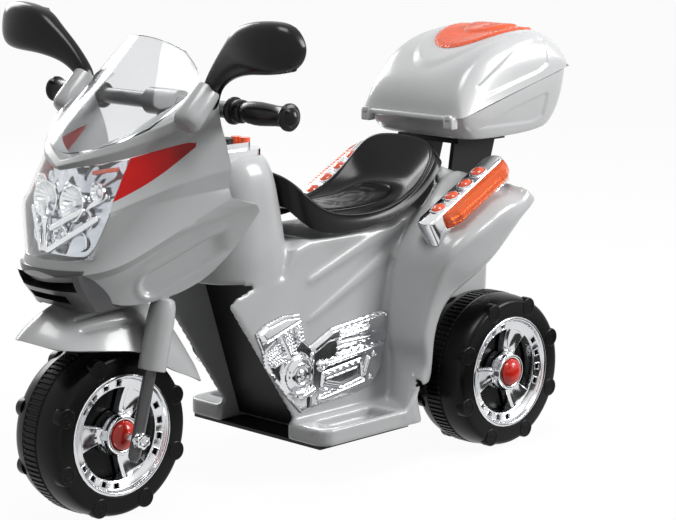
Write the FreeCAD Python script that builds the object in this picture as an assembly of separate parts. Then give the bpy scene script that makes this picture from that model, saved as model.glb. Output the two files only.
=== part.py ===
"""Motorized ride-on trike for a child: one steered front wheel, two rear wheels, a
fairing that turns with the fork, a moulded body with a bucket seat and a top box.

Millimetres. +X is the rider's left, -Y is the front, +Z is up, and the origin is on
the ground under the middle of the whole trike.
"""
import FreeCAD, Part
import math
import os

V = FreeCAD.Vector
ALONG_X = V(1, 0, 0)
ALONG_Y = V(0, 1, 0)
ALONG_Z = V(0, 0, 1)
ORIGIN = V(0, 0, 0)

# Wheels and axles
WHEEL_D = 190.0
TYRE_W = 76.0
TREAD_W = 30.0
SHOULDER_DROP = 10.0
RIM_D = 136.0
RIM_RECESS = 24.0
RIM_LIP = 12.0
HUB_D = 44.0
AXLE_D = 10.0
AXLE_RUNNING = 0.05
SPOKES = 3
SPOKE_W = 30.0
SPOKE_FLARE = 12.0
COVER_T = 5.0
CAP_D = 33.0
CAP_H = 9.0
WHEELBASE = 522.0
REAR_AXLE_Y = 232.0
REAR_TRACK = 216.0

# Steering
RAKE_DEG = 15.0
FORK_OFFSET = 7.0
FORK_TRACK = 124.0
FORK_TUBE_D = 14.0
FORK_COVER_D = 31.0
FORK_COVER_FOOT_Z = 170.0
FORK_FOOT_Z = 78.0
CROWN_Z = 262.0
CROWN_T = 14.0
CROWN_REACH = 32.0
STEM_D = 16.0
STEM_RUNNING = 0.08
HEAD_D = 34.0
HEAD_LIFT = 34.0
HEAD_H = 62.0
BAR_D = 18.0
BAR_LIFT = 185.0
BAR_SPAN = 400.0
CLAMP_W = 50.0
CLAMP_D = 30.0
GRIP_D = 25.0
GRIP_WAIST_D = 21.0
GRIP_L = 92.0
GRIP_FLANGE_D = 31.0
GRIP_FLANGE_T = 5.0

# Front fender
FENDER_W = 110.0
FENDER_R = 155.0
FENDER_T = 3.0

# Fairing
COWL_HALF_W = 100.0
COWL_L = 200.0
COWL_BACK = 110.0
COWL_DROP = 22.0
COWL_H = 200.0
COWL_T = 3.5
SOCKET_D = 27.0
SOCKET_BORE_D = 19.0
SCREEN_T = 2.5
FRAME_T = 5.0
FRAME_LIFT = 38.0

# Mirrors
MIRROR_H = 54.0
MIRROR_DEPTH = 36.0
MIRROR_REACH = 117.0
MIRROR_RISE = 73.0
MIRROR_AHEAD = 32.0
GLASS_T = 2.0
STALK_D = 18.0

# Body shell
BODY_W = 124.0
BODY_FLOOR_Z = 50.0
BODY_H = 340.0
BODY_WALL = 5.0
BODY_BEVEL = 6.0
NECK_BACK = 133.0
NECK_W = 122.0
NECK_L = 118.0
TAIL_BACK = 61.0
FOOT_W = 236.0
FOOT_T = 20.0
FOOT_TOE_GAP = 30.0  # rim kept before each recess
FOOT_HEEL_GAP = 25.0  # room kept before the rear leg, so that a flat sole lies free of it
FOOT_AHEAD = 137.0
FENDER_OUT_X = 146.0
PAN_T = 4.0
RIDGE_T = 3.0

# Seat
SEAT_W = 146.0
SEAT_WALL = 9.0
SEAT_CORNER = 26.0

# Top box
BOX_L = 195.0
BOX_W = 188.0
BOX_T = 3.0
BOX_AHEAD = 27.0
TRAY_H = 30.0
LID_H = 104.0
SEAM_TILT_DEG = 15.4
LID_GAP = 0.4
HINGE_PIN_D = 4.0
HINGE_RUNNING = 0.06
KNUCKLE_D = 9.0
KNUCKLE_L = 12.0
HINGE_SPAN = 124.0
BRACKET_T = 6.0

# Sirens, console and engine trim
SIREN_L = 142.0
SIREN_W = 30.0
SIREN_H = 32.0
SIREN_TILT_DEG = 28.5
SIREN_X = 107.0
SIREN_LENS_W = 12.0
BUTTON_D = 19.0
BUTTON_H = 4.0
BUTTONS = 4
CONSOLE_W = 92.0
CONSOLE_L = 74.0
CONSOLE_H = 20.0
KNOB_D = 24.0
TRIM_T = 9.0
FINS = 6
FIN_T = 4.0
GEARBOX_W = 108.0
GEARBOX_L = 90.0
GEARBOX_H = 76.0

# One overrun serves every cut
OVER = 1.0
FIT = 0.3

WHEEL_R = WHEEL_D / 2
FRONT_AXLE_Y = REAR_AXLE_Y - WHEELBASE
TAN_RAKE = math.tan(math.radians(RAKE_DEG))
BAR_Z = CROWN_Z + BAR_LIFT
HEAD_FOOT_Z = CROWN_Z + HEAD_LIFT
FRAME_Z = CROWN_Z + FRAME_LIFT
COWL_REAR_Y = FRONT_AXLE_Y + COWL_BACK
COWL_FOOT_Z = CROWN_Z - COWL_DROP
NECK_FRONT_Y = FRONT_AXLE_Y + NECK_BACK
BODY_L = REAR_AXLE_Y + TAIL_BACK - NECK_FRONT_Y
BOX_FRONT_Y = REAR_AXLE_Y - BOX_AHEAD
BOX_SEAM_SHARE = 1.0324


# Shape helpers
CORNER_SHARE = 0.45


def box(x0, x1, y0, y1, z0, z1):
    """A box between two opposite corners."""
    return Part.makeBox(x1 - x0, y1 - y0, z1 - z0, V(x0, y0, z0))


def rod(start, end, diameter):
    """A round bar from one point to another."""
    run = end - start
    return Part.makeCylinder(diameter / 2, run.Length, start, run)


def corner_arc(before, point, after, radius):
    """The rounding of one corner: where it starts, its middle and where it ends."""
    back = before - point
    ahead = after - point
    half = back.getAngle(ahead) / 2
    longest = CORNER_SHARE * min(back.Length, ahead.Length)
    reach = min(radius / math.tan(half), longest)
    back.normalize()
    ahead.normalize()
    used = reach * math.tan(half)
    centre_way = back + ahead
    centre_way.normalize()
    middle = point + centre_way * (used / math.sin(half) - used)
    return point + back * reach, middle, point + ahead * reach


def rounded_wire(points, radius):
    """A closed wire through straight sides and rounded corners."""
    count = len(points)
    arcs = [corner_arc(points[i - 1], points[i], points[(i + 1) % count], radius)
            for i in range(count)]
    edges = []
    for i, (start, middle, end) in enumerate(arcs):
        edges.append(Part.Arc(start, middle, end).toShape())
        edges.append(Part.LineSegment(end, arcs[(i + 1) % count][0]).toShape())
    return Part.Wire(edges)


def sharp_wire(points):
    """A closed wire through straight sides."""
    return Part.makePolygon(points + [points[0]])


def prism(wire, way):
    """A closed wire pulled along a direction."""
    return Part.Face(wire).extrude(way)


def side_prism(points, half_width, radius=0.0):
    """A side outline, given as (y, z), pulled across the width."""
    corners = [V(-half_width, y, z) for y, z in points]
    wire = rounded_wire(corners, radius) if radius else sharp_wire(corners)
    return prism(wire, ALONG_X * (2 * half_width))


def side_form(points, half_width, bevel, radius=0.0):
    """A side outline pulled across the width, with its long edges bevelled."""
    middle_y = sum(y for y, _ in points) / len(points)
    middle_z = sum(z for _, z in points) / len(points)
    reach = max(max(abs(y - middle_y), abs(z - middle_z)) for y, z in points)
    wires = []
    for x, inset in ((-half_width, bevel), (bevel - half_width, 0), (half_width - bevel, 0),
                     (half_width, bevel)):
        share = 1 - inset / reach
        corners = [V(x, middle_y + share * (y - middle_y), middle_z + share * (z - middle_z))
                   for y, z in points]
        wires.append(rounded_wire(corners, radius) if radius else sharp_wire(corners))
    return loft(wires, True)


def plan_prism(rows, front, length, half_width, foot, height, radius):
    """An outline seen from above, given as (length share, width share), pulled up."""
    left = [V(w * half_width, front + s * length, foot) for s, w in rows]
    right = [V(-p.x, p.y, foot) for p in reversed(left)]
    return prism(rounded_wire(left + right, radius), ALONG_Z * height)


def loft(wires, ruled=False):
    """A closed solid through several outlines."""
    return Part.makeLoft(wires, True, ruled)


def mirror(shape):
    """The same piece on the rider's right."""
    return shape.mirror(ORIGIN, ALONG_X)


def both(shape):
    """A piece on the left and its copy on the right."""
    return [shape, mirror(shape)]


def fuse(shapes):
    """Several solids joined to one."""
    joined = shapes[0].fuse(shapes[1:]) if len(shapes) > 1 else shapes[0]
    return joined.removeSplitter()


def turned(shape, centre, axis, degrees):
    """A copy turned about an axis."""
    copy = shape.copy()
    copy.rotate(centre, axis, degrees)
    return copy


def steer_y(z):
    """Where the steering axis is at a height."""
    return FRONT_AXLE_Y + FORK_OFFSET + (z - WHEEL_R) * TAN_RAKE


def leg_y(z):
    """Where a fork leg's centre line is at a height."""
    return FRONT_AXLE_Y + (z - WHEEL_R) * TAN_RAKE


# Wheels

def tyre(hub_out):
    """Blow-moulded wheel, turned about X: tread band, round shoulders and hub."""
    half = TYRE_W / 2
    tread = TREAD_W / 2
    shoulder_r = WHEEL_R - SHOULDER_DROP
    rim_r = RIM_D / 2
    hub_r = HUB_D / 2
    bore_r = AXLE_D / 2 + AXLE_RUNNING
    web = half - RIM_RECESS
    left = [V(-hub_out, bore_r), V(-hub_out, hub_r), V(-web, hub_r), V(-web, rim_r - RIM_LIP),
            V(-half + RIM_LIP, rim_r), V(-half, rim_r)]
    right = [V(-p.x, p.y) for p in reversed(left)]
    crown = [V(-half, shoulder_r - SHOULDER_DROP / 2), V(-tread, WHEEL_R), V(tread, WHEEL_R),
             V(half, shoulder_r - SHOULDER_DROP / 2)]
    edges = [Part.makePolygon(left + [crown[0]])]
    run = crown[1] - crown[0]
    round_r = (run.x * run.x + run.y * run.y) / (2 * run.y)
    turn = math.atan2(run.x, round_r - run.y) / 2
    swell = V(-tread - round_r * math.sin(turn), WHEEL_R - round_r * (1 - math.cos(turn)))
    edges.append(Part.Arc(crown[0], swell, crown[1]).toShape())
    edges.append(Part.LineSegment(crown[1], crown[2]).toShape())
    edges.append(Part.Arc(crown[2], V(-swell.x, swell.y), crown[3]).toShape())
    edges.append(Part.makePolygon([crown[3]] + right + [left[0]]))
    loose = []
    for piece in edges:
        loose.extend(piece.Edges)
    face = Part.Face(Part.Wire(Part.__sortEdges__(loose)))
    return face.revolve(ORIGIN, ALONG_X, 360)


FULL_TURN = 360.0
SPOKE_TURN = -28.0


def cover():
    """Rim cover: outer ring, hub ring and three broad spokes, on the wheel's +X face."""
    half = TYRE_W / 2
    rim_r = RIM_D / 2 - FIT
    ring_in = rim_r - RIM_LIP
    root = half - RIM_LIP
    ring = Part.makeCylinder(rim_r, RIM_LIP, V(root, 0, 0), ALONG_X)
    ring = ring.cut(Part.makeCone(ring_in - RIM_LIP / 3, ring_in + RIM_LIP / 2,
                                  RIM_LIP + OVER, V(root - OVER / 2, 0, 0), ALONG_X))
    hub = Part.makeCone(CAP_D / 2 + COVER_T, CAP_D / 2 + COVER_T / 2, COVER_T + RIM_LIP / 2,
                        V(root, 0, 0), ALONG_X)
    pieces = [ring, hub]
    half_in = (SPOKE_W - SPOKE_FLARE) / 2
    half_out = (SPOKE_W + SPOKE_FLARE) / 2
    blade = sharp_wire([V(root, -half_in, 0), V(root, half_in, 0), V(root, half_out, ring_in),
                        V(root, -half_out, ring_in)])
    spoke = prism(blade, ALONG_X * COVER_T)
    for i in range(SPOKES):
        pieces.append(turned(spoke, ORIGIN, ALONG_X, SPOKE_TURN + i * FULL_TURN / SPOKES))
    return fuse(pieces)


def cap():
    """Domed hub cap on the wheel's +X face."""
    half = TYRE_W / 2
    foot = half - RIM_LIP / 2 + COVER_T
    drum = Part.makeCylinder(CAP_D / 2, CAP_H / 2, V(foot, 0, 0), ALONG_X)
    ball_r = (CAP_D * CAP_D / 4 + CAP_H * CAP_H) / (2 * CAP_H)
    ball = Part.makeSphere(ball_r, V(foot + CAP_H / 2 + CAP_H - ball_r, 0, 0))
    dome = ball.common(Part.makeCylinder(CAP_D / 2, CAP_H + OVER,
                                         V(foot + CAP_H / 2, 0, 0), ALONG_X))
    return fuse([drum, dome])


def placed(shape, x, y, flip=False):
    """A wheel piece moved to its axle, turned to face the rider's right if asked."""
    copy = mirror(shape) if flip else shape.copy()
    copy.translate(V(x, y, WHEEL_R))
    return copy


def front_wheel():
    """Front wheel: tyre, a cover and a cap on each side, bored for the axle."""
    bore = Part.makeCylinder(AXLE_D / 2 + AXLE_RUNNING, 2 * TYRE_W, V(-TYRE_W, 0, 0), ALONG_X)
    half_out = TYRE_W / 2 - RIM_LIP
    covers = [cover().cut(bore), mirror(cover()).cut(bore)]
    caps = [cap().cut(bore), mirror(cap()).cut(bore)]
    return {
        "front_tyre": placed(tyre(half_out), 0, FRONT_AXLE_Y),
        "front_rim_covers": Part.Compound([placed(c, 0, FRONT_AXLE_Y) for c in covers]),
        "front_hub_caps": Part.Compound([placed(c, 0, FRONT_AXLE_Y) for c in caps]),
    }


def rear_wheel(side, name):
    """One rear wheel with a cover and a cap on its outer face."""
    x = side * REAR_TRACK / 2
    flip = side < 0
    half_out = TYRE_W / 2 - RIM_LIP
    bore = Part.makeCylinder(AXLE_D / 2 + AXLE_RUNNING, TYRE_W / 2, ORIGIN, ALONG_X)
    return {
        "rear_tyre_" + name: placed(tyre(half_out), x, REAR_AXLE_Y, flip),
        "rear_rim_cover_" + name: placed(cover().cut(bore), x, REAR_AXLE_Y, flip),
        "rear_hub_cap_" + name: placed(cap(), x, REAR_AXLE_Y, flip),
    }


# Fork and handlebar

def fork_leg_points():
    """The leg's foot, the cover's foot and the crown's level on the rider's left."""
    x = FORK_TRACK / 2
    return [V(x, leg_y(z), z) for z in (FORK_FOOT_Z, FORK_COVER_FOOT_Z, CROWN_Z)]


def steering_parts():
    """Fork tubes, covers, crown with stem, front axle, handlebar and grips."""
    foot, cover_foot, top = fork_leg_points()
    way = top - foot
    way.normalize()
    tube = rod(foot, cover_foot + way * FORK_TUBE_D, FORK_TUBE_D)
    tube = tube.fuse(Part.makeSphere(FORK_TUBE_D / 2, foot))
    axle_hole = rod(V(0, FRONT_AXLE_Y, WHEEL_R), V(FORK_TRACK, FRONT_AXLE_Y, WHEEL_R), AXLE_D)
    tube = tube.cut(axle_hole)
    leg_cover = Part.makeCone(FORK_COVER_D / 2 - OVER, FORK_COVER_D / 2,
                              (top - cover_foot).Length, cover_foot, way)
    half = FORK_TRACK / 2 + FORK_COVER_D / 2
    crown = box(-half, half, leg_y(CROWN_Z) - FORK_COVER_D / 2, steer_y(CROWN_Z) + CROWN_REACH,
                CROWN_Z, CROWN_Z + CROWN_T)
    leg_cover = leg_cover.cut([rod(foot, cover_foot + way * FORK_TUBE_D, FORK_TUBE_D), crown])
    stem_top = V(0, steer_y(BAR_Z), BAR_Z)
    stem_foot = V(0, steer_y(CROWN_Z), CROWN_Z)
    stem = rod(stem_foot, stem_top, STEM_D)
    bar_half = BAR_SPAN / 2
    bar_centre_y = steer_y(BAR_Z)
    bar = rod(V(-bar_half, bar_centre_y, BAR_Z), V(bar_half, bar_centre_y, BAR_Z), BAR_D)
    clamp = rod(V(-CLAMP_W / 2, bar_centre_y, BAR_Z), V(CLAMP_W / 2, bar_centre_y, BAR_Z),
                CLAMP_D)
    bar = fuse([bar, clamp]).cut(stem)
    grip = handle_grip(bar_half, bar_centre_y)
    axle_half = FORK_TRACK / 2 + FORK_TUBE_D / 2 + GRIP_FLANGE_T
    axle = rod(V(-axle_half, FRONT_AXLE_Y, WHEEL_R), V(axle_half, FRONT_AXLE_Y, WHEEL_R), AXLE_D)
    nut = rod(V(FORK_TRACK / 2 + FORK_TUBE_D / 2, FRONT_AXLE_Y, WHEEL_R),
              V(axle_half, FRONT_AXLE_Y, WHEEL_R), 2 * AXLE_D)
    return {
        "fork_tubes": Part.Compound(both(tube)),
        "fork_covers": Part.Compound(both(leg_cover)),
        "fork_crown": fuse([crown, stem]),
        "front_axle": fuse([axle] + both(nut)),
        "handlebar": bar,
        "grip_left": grip,
        "grip_right": mirror(grip),
    }


def handle_grip(bar_half, y):
    """Waisted grip with a flange at each end, turned about the bar."""
    start = bar_half - GRIP_L
    bore_r = BAR_D / 2
    body_r = GRIP_D / 2
    flange_r = GRIP_FLANGE_D / 2
    end = bar_half + GRIP_FLANGE_T
    waist_r = GRIP_WAIST_D / 2
    collar = start + 2 * GRIP_FLANGE_T
    points = [V(start, bore_r), V(start, flange_r), V(start + GRIP_FLANGE_T, flange_r),
              V(collar, body_r), V(collar + 2 * GRIP_FLANGE_T, body_r),
              V(collar + 3 * GRIP_FLANGE_T, waist_r), V(end - 4 * GRIP_FLANGE_T, body_r),
              V(end - 2 * GRIP_FLANGE_T, body_r),
              V(end - GRIP_FLANGE_T, flange_r), V(end, flange_r - GRIP_FLANGE_T / 2),
              V(end, 0), V(bar_half, 0), V(bar_half, bore_r)]
    face = Part.Face(Part.makePolygon(points + [points[0]]))
    grip = face.revolve(ORIGIN, ALONG_X, 360)
    grip.translate(V(0, y, BAR_Z))
    return grip


# Front fender, in planes through the axle: (degrees from the top, radius share,
# half-width share, side depth share)
FENDER_SHARES = [
    (-42.5, 1.05, 0.20, 0.04), (-36.0, 1.045, 0.62, 0.12), (-22.0, 1.025, 0.92, 0.31),
    (0.0, 1.0, 1.0, 0.36), (20.0, 0.965, 0.98, 0.34), (40.0, 0.875, 0.93, 0.31),
    (58.0, 0.79, 0.86, 0.15), (68.0, 0.735, 0.80, 0.05)]
FENDER_SHOULDER_SHARES = (0.5, 0.6)


def fender_section(degrees, radius, half, depth, wall):
    """One U-shaped outline of the fender in a plane through the axle."""
    radius -= wall
    half -= wall
    depth += abs(wall)
    wide_share, deep_share = FENDER_SHOULDER_SHARES
    shoulder = min(wide_share * half, deep_share * depth + wall)
    angle = math.radians(degrees)
    outline = [(-half, radius - depth), (-half, radius - shoulder), (-half + shoulder, radius),
               (half - shoulder, radius), (half, radius - shoulder), (half, radius - depth)]
    points = [V(x, FRONT_AXLE_Y + r * math.sin(angle), WHEEL_R + r * math.cos(angle))
              for x, r in outline]
    return sharp_wire(points)


def fender_form(wall):
    """The fender's full form, moved inward by the wall, or outward by a clearance."""
    return loft([fender_section(deg, FENDER_R * r, FENDER_W / 2 * w, FENDER_R * d, wall)
                 for deg, r, w, d in FENDER_SHARES])


def fender():
    """Front fender: a moulded arch over the wheel, notched round the fork legs."""
    shell = fender_form(0).cut(fender_form(FENDER_T))
    foot, _, top = fork_leg_points()
    leg = rod(foot, top, FORK_COVER_D + FIT)
    crown = box(-FENDER_W, FENDER_W, FRONT_AXLE_Y, 0, CROWN_Z, CROWN_Z + CROWN_T)
    return shell.cut([leg, mirror(leg), crown])


# Fairing, in level planes: (height share, nose share, (half-width share, length share)
# of three points along the side, and of the rear end)
COWL_SHARES = [
    (-0.01, 0.84, (0.35, 0.82), (0.62, 0.72), (0.86, 0.30), (0.97, -0.25)),
    (0.11, 0.93, (0.38, 0.90), (0.66, 0.76), (0.91, 0.30), (1.03, -0.25)),
    (0.245, 0.98, (0.42, 0.93), (0.75, 0.73), (0.98, 0.27), (1.07, -0.25)),
    (0.355, 0.94, (0.42, 0.90), (0.73, 0.78), (0.99, 0.27), (1.08, -0.25)),
    (0.51, 0.88, (0.45, 0.855), (0.75, 0.76), (1.00, 0.25), (1.08, -0.25)),
    (0.725, 0.80, (0.48, 0.775), (0.80, 0.68), (1.01, 0.23), (1.07, -0.25)),
    (0.885, 0.73, (0.50, 0.69), (0.82, 0.60), (1.01, 0.19), (1.05, -0.25)),
    (1.0, 0.65, (0.50, 0.61), (0.83, 0.52), (0.98, 0.19), (1.0, -0.25)),
    (1.175, 0.54, (0.45, 0.51), (0.72, 0.40), (0.83, 0.15), (0.85, -0.25))]
# Side outlines as (length share, height share)
COWL_SIDE_SHARES = [(0.16, 0.99), (0.02, 0.71), (0.03, 0.54), (0.72, 0.245), (1.05, 0.18),
                    (1.05, 0.785), (0.77, 0.79), (0.12, 1.17)]
# Wing corners as (length share, height share, half-width share)
WING_SHARES = [(0.03, 0.54, 1.02), (-0.21, 0.485, 1.05), (0.175, 0.095, 0.90),
               (0.66, 0.015, 0.68), (0.82, 0.09, 0.56), (0.74, 0.25, 0.75)]
# Lens outlines as (half-width share, height share) and (length share, height share)
LENS_SHARES = [(0.0, 0.735), (0.70, 0.815), (0.69, 0.60), (0.72, 0.50), (0.56, 0.29),
               (0.30, 0.275), (0.0, 0.265)]
TURN_SHARES = [(0.72, 0.595), (0.61, 0.80), (0.23, 0.87), (0.42, 0.70)]
# Screen, in level planes like the fairing
SCREEN_SHARES = [
    (0.79, 0.785, (0.40, 0.76), (0.72, 0.66), (0.85, 0.10)),
    (0.955, 0.64, (0.45, 0.60), (0.80, 0.505), (0.87, 0.10)),
    (1.185, 0.425, (0.42, 0.375), (0.74, 0.25), (0.85, 0.05)),
    (1.36, 0.265, (0.31, 0.225), (0.53, 0.125), (0.63, 0.0)),
    (1.43, 0.21, (0.24, 0.18), (0.42, 0.10), (0.54, 0.0))]
SCREEN_SIDE_SHARES = [(0.79, 0.78), (0.12, 1.17), (0.12, 1.34), (0.20, 1.425), (0.90, 1.5),
                      (1.05, 0.80)]
# Mirror socket's foot and head: (half-width share, length share, height share)
SOCKET_SHARES = [(1.03, 0.36, 0.99), (1.04, 0.20, 1.155)]
LAMP_LENGTH_SHARES = (0.55, 1.1)
FRAME_LENGTH_SHARES = (0.22, 0.62)
POST_LENGTH_SHARES = (0.50, 0.62)
GRILLE_W_SHARE = 0.52
GRILLE_LENGTH_SHARES = (0.62, 1.1)
GRILLE_HEIGHT_SHARES = (0.005, 0.235)
GRILLE_BACK_SHARE = 0.72
# Grille openings: (foot height share, top height share, width share)
MOUTH_SHARES = [(0.045, 0.09, 0.6), (0.12, 0.20, 0.9)]


def cowl_y(share):
    """A place along the fairing, measured forward from its rear edge."""
    return COWL_REAR_Y - share * COWL_L


def cowl_z(share):
    """A height on the fairing."""
    return COWL_FOOT_Z + share * COWL_H


def cowl_side(shares):
    """A side outline on the fairing, as (y, z) points."""
    return [(cowl_y(y), cowl_z(z)) for y, z in shares]


def cowl_box(half, length_shares, low, high):
    """A box across the fairing between two length shares and two heights."""
    near, far = length_shares
    return box(-half, half, cowl_y(far), cowl_y(near), low, high)


def skin_wire(row, inset, rear_extra):
    """One level outline of a front skin, moved inward by the wall where asked."""
    height, nose, *sides = row
    half = [V(0, cowl_y(nose), 0)] + [V(w * COWL_HALF_W, cowl_y(s), 0) for w, s in sides]
    moved = [half[0] + ALONG_Y * inset]
    for i in range(1, len(half)):
        run = half[min(i + 1, len(half) - 1)] - half[i - 1]
        inward = V(-run.y, run.x, 0)
        inward.normalize()
        moved.append(half[i] + inward * inset)
    moved[-1].y += rear_extra
    z = cowl_z(height)
    right = [V(-p.x, p.y, z) for p in reversed(moved[1:])]
    points = right + [V(p.x, p.y, z) for p in moved]
    curve = Part.BSplineCurve()
    curve.interpolate(points)
    closing = Part.LineSegment(points[-1], points[0])
    return Part.Wire([curve.toShape(), closing.toShape()])


def skin_body(rows, inset=0, rear_extra=0):
    """The solid inside a front skin."""
    return loft([skin_wire(row, inset, rear_extra) for row in rows])


def lens_prism(shares):
    """The headlamp opening pulled along the trike's length."""
    right = [(-x, z) for x, z in reversed(shares[1:-1])]
    points = [V(x * COWL_HALF_W, cowl_y(0), cowl_z(z)) for x, z in shares + right]
    return prism(sharp_wire(points), ALONG_Y * (-2 * COWL_L))


def turn_prism():
    """The side lamp opening pulled across the width."""
    corners = [V(0, y, z) for y, z in cowl_side(TURN_SHARES)]
    return prism(sharp_wire(corners), ALONG_X * (2 * COWL_HALF_W))


def wing():
    """The tucked-in lower wing of the fairing on the rider's left."""
    outer = [V(x * COWL_HALF_W, cowl_y(y), cowl_z(z)) for y, z, x in WING_SHARES]
    inner = [p - V(COWL_T, 0, 0) for p in outer]
    faces = []
    fans = [(5, 0, 2), (5, 2, 3), (5, 3, 4), (0, 1, 2)]
    for a, b, c in fans:
        faces.append(Part.Face(sharp_wire([outer[a], outer[b], outer[c]])))
        faces.append(Part.Face(sharp_wire([inner[a], inner[c], inner[b]])))
    count = len(outer)
    for i in range(count):
        j = (i + 1) % count
        faces.append(Part.Face(sharp_wire([outer[i], outer[j], inner[j], inner[i]])))
    return Part.Solid(Part.Shell(faces))


def socket_ends():
    """Where the mirror socket on the rider's left starts and ends, and its direction."""
    foot, head = [V(x * COWL_HALF_W, cowl_y(y), cowl_z(z)) for x, y, z in SOCKET_SHARES]
    way = head - foot
    way.normalize()
    return foot, head, way


def stem_ends():
    """Where the steering stem starts and ends."""
    return V(0, steer_y(CROWN_Z), CROWN_Z), V(0, steer_y(BAR_Z), BAR_Z)


def fairing_parts():
    """Fairing shell with its lenses, lamp, grille, screen and inner frame."""
    outer = skin_body(COWL_SHARES)
    inner = skin_body(COWL_SHARES, COWL_T, COWL_T)
    skin = outer.cut(inner)
    skin = skin.common(side_prism(cowl_side(COWL_SIDE_SHARES), 2 * COWL_HALF_W))
    head = lens_prism(LENS_SHARES)
    turn = turn_prism()
    lens = skin.common(head)
    red = skin.common(turn).cut(head)
    foot, top, way = socket_ends()
    tube = rod(foot, top, SOCKET_D)
    hole = rod(foot + way * STALK_D, top + way * OVER, SOCKET_BORE_D)
    shell = skin.cut([head] + both(turn)).fuse(both(tube.cut(inner)) + both(wing()))
    shell = shell.cut(both(hole)).removeSplitter()
    deep = skin_body(COWL_SHARES, COWL_T + RIM_RECESS, COWL_T)
    lamp = inner.cut(deep).common(head)
    lamp = lamp.common(cowl_box(COWL_HALF_W, LAMP_LENGTH_SHARES, cowl_z(0), cowl_z(1)))
    level = cowl_box(2 * COWL_HALF_W, FRAME_LENGTH_SHARES, FRAME_Z, FRAME_Z + FRAME_T)
    post = cowl_box(HEAD_D, POST_LENGTH_SHARES, CROWN_Z + CROWN_T, FRAME_Z)
    frame = inner.common(level).fuse(post)
    frame = frame.cut([rod(*stem_ends(), HEAD_D + STEM_D), shell])
    return {
        "fairing": shell,
        "headlamp_lens": lens,
        "headlamp_reflector": lamp,
        "turn_lens_left": red,
        "turn_lens_right": mirror(red),
        "fairing_frame": frame,
        "windscreen": screen().cut(shell),
        "grille": grille(outer).cut([shell, lens]),
    }


def screen():
    """Clear windscreen: a thin bubble trimmed by its side outline."""
    shell = skin_body(SCREEN_SHARES).cut(skin_body(SCREEN_SHARES, SCREEN_T, SCREEN_T))
    return shell.common(side_prism(cowl_side(SCREEN_SIDE_SHARES), 2 * COWL_HALF_W))


def grille(outer):
    """Dark mouth under the chin with a middle bar and two openings."""
    half = GRILLE_W_SHARE * COWL_HALF_W
    low, high = GRILLE_HEIGHT_SHARES
    block = outer.common(cowl_box(half, GRILLE_LENGTH_SHARES, cowl_z(low), cowl_z(high)))
    span = (GRILLE_BACK_SHARE, GRILLE_LENGTH_SHARES[1])
    slots = [cowl_box(wide * half, span, cowl_z(foot), cowl_z(top))
             for foot, top, wide in MOUTH_SHARES]
    return block.cut(slots + [fender_form(-FIT)])


# Mirrors. The arm and housing in planes across it: (reach share, length share,
# height share, depth share, tallness share, rounding share)
MIRROR_SHARES = [
    (0.0, -0.18, -0.92, 0.42, 0.34, 0.9), (0.16, -0.10, -0.66, 0.46, 0.40, 0.9),
    (0.42, 0.0, -0.28, 0.66, 0.62, 0.8), (0.56, 0.0, 0.0, 0.90, 0.94, 0.7),
    (0.82, 0.0, 0.04, 1.0, 1.0, 0.66), (1.10, 0.0, -0.02, 0.92, 0.92, 0.7),
    (1.22, 0.0, -0.06, 0.55, 0.62, 0.8)]
GLASS_SHARES = (0.56, 1.10, 0.84)


def mirror_ring(x, y, z, depth, height, rounding):
    """One rounded outline of the mirror in a plane across it."""
    corners = [V(x, y + sy * depth / 2, z + sz * height / 2)
               for sy, sz in ((-1, -1), (1, -1), (1, 1), (-1, 1))]
    return rounded_wire(corners, rounding * min(depth, height) / 2)


def mirror_housing():
    """Mirror on the rider's left: an arm that widens to a rounded housing, and its glass."""
    foot, head, way = socket_ends()
    elbow = head + way * (STALK_D / 2)
    middle_y = elbow.y - MIRROR_AHEAD / 2
    middle_z = BAR_Z + MIRROR_RISE
    rings = []
    for reach, back, up, deep, tall, rounding in MIRROR_SHARES:
        rings.append(mirror_ring(elbow.x + reach * MIRROR_REACH, middle_y + back * MIRROR_DEPTH,
                                 middle_z + up * MIRROR_H, deep * MIRROR_DEPTH,
                                 tall * MIRROR_H, rounding))
    shell = loft(rings)
    stalk = rod(foot + way * STALK_D, elbow, STALK_D)
    ball = Part.makeSphere(STALK_D / 2, elbow)
    near, far, tall = GLASS_SHARES
    rear = middle_y + MIRROR_DEPTH / 2
    edge = tall * MIRROR_H / 2
    rear_corners = [V(elbow.x + r * MIRROR_REACH, rear + OVER, middle_z + s * edge)
                    for r, s in ((near, -1), (far, -1), (far, 1), (near, 1))]
    plate = prism(rounded_wire(rear_corners, edge / 2), ALONG_Y * -(GLASS_T + OVER))
    shell = fuse([shell.cut(rod(foot, head, SOCKET_D)), stalk, ball])
    glass = plate.common(shell)
    return shell.cut(glass), glass


# Body shell. Side outline as (length share, height share) of the body
TUB_SHARES = [(0.0, 0.50), (0.24, 0.03), (0.26, 0.0), (0.66, 0.0), (0.70, 0.02),
              (0.74, 0.265), (0.98, 0.265), (0.995, 0.70), (0.97, 0.755), (0.86, 0.83),
              (0.80, 0.86), (0.76, 0.845), (0.68, 0.765), (0.58, 0.69), (0.30, 0.685),
              (0.23, 0.66), (0.19, 0.56), (0.03, 0.53)]
NECK_SHARES = [(0.30, 0.94, 0.22, 1.0), (0.53, 0.99, 0.0, 1.0), (0.735, 1.0, 0.0, 0.98),
               (0.875, 0.98, 0.01, 0.87), (0.955, 0.88, 0.05, 0.78), (0.995, 0.63, 0.14, 0.68)]
NECK_TOP_SHARE = 0.995
NECK_CORNER_SHARE = 0.85
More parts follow.
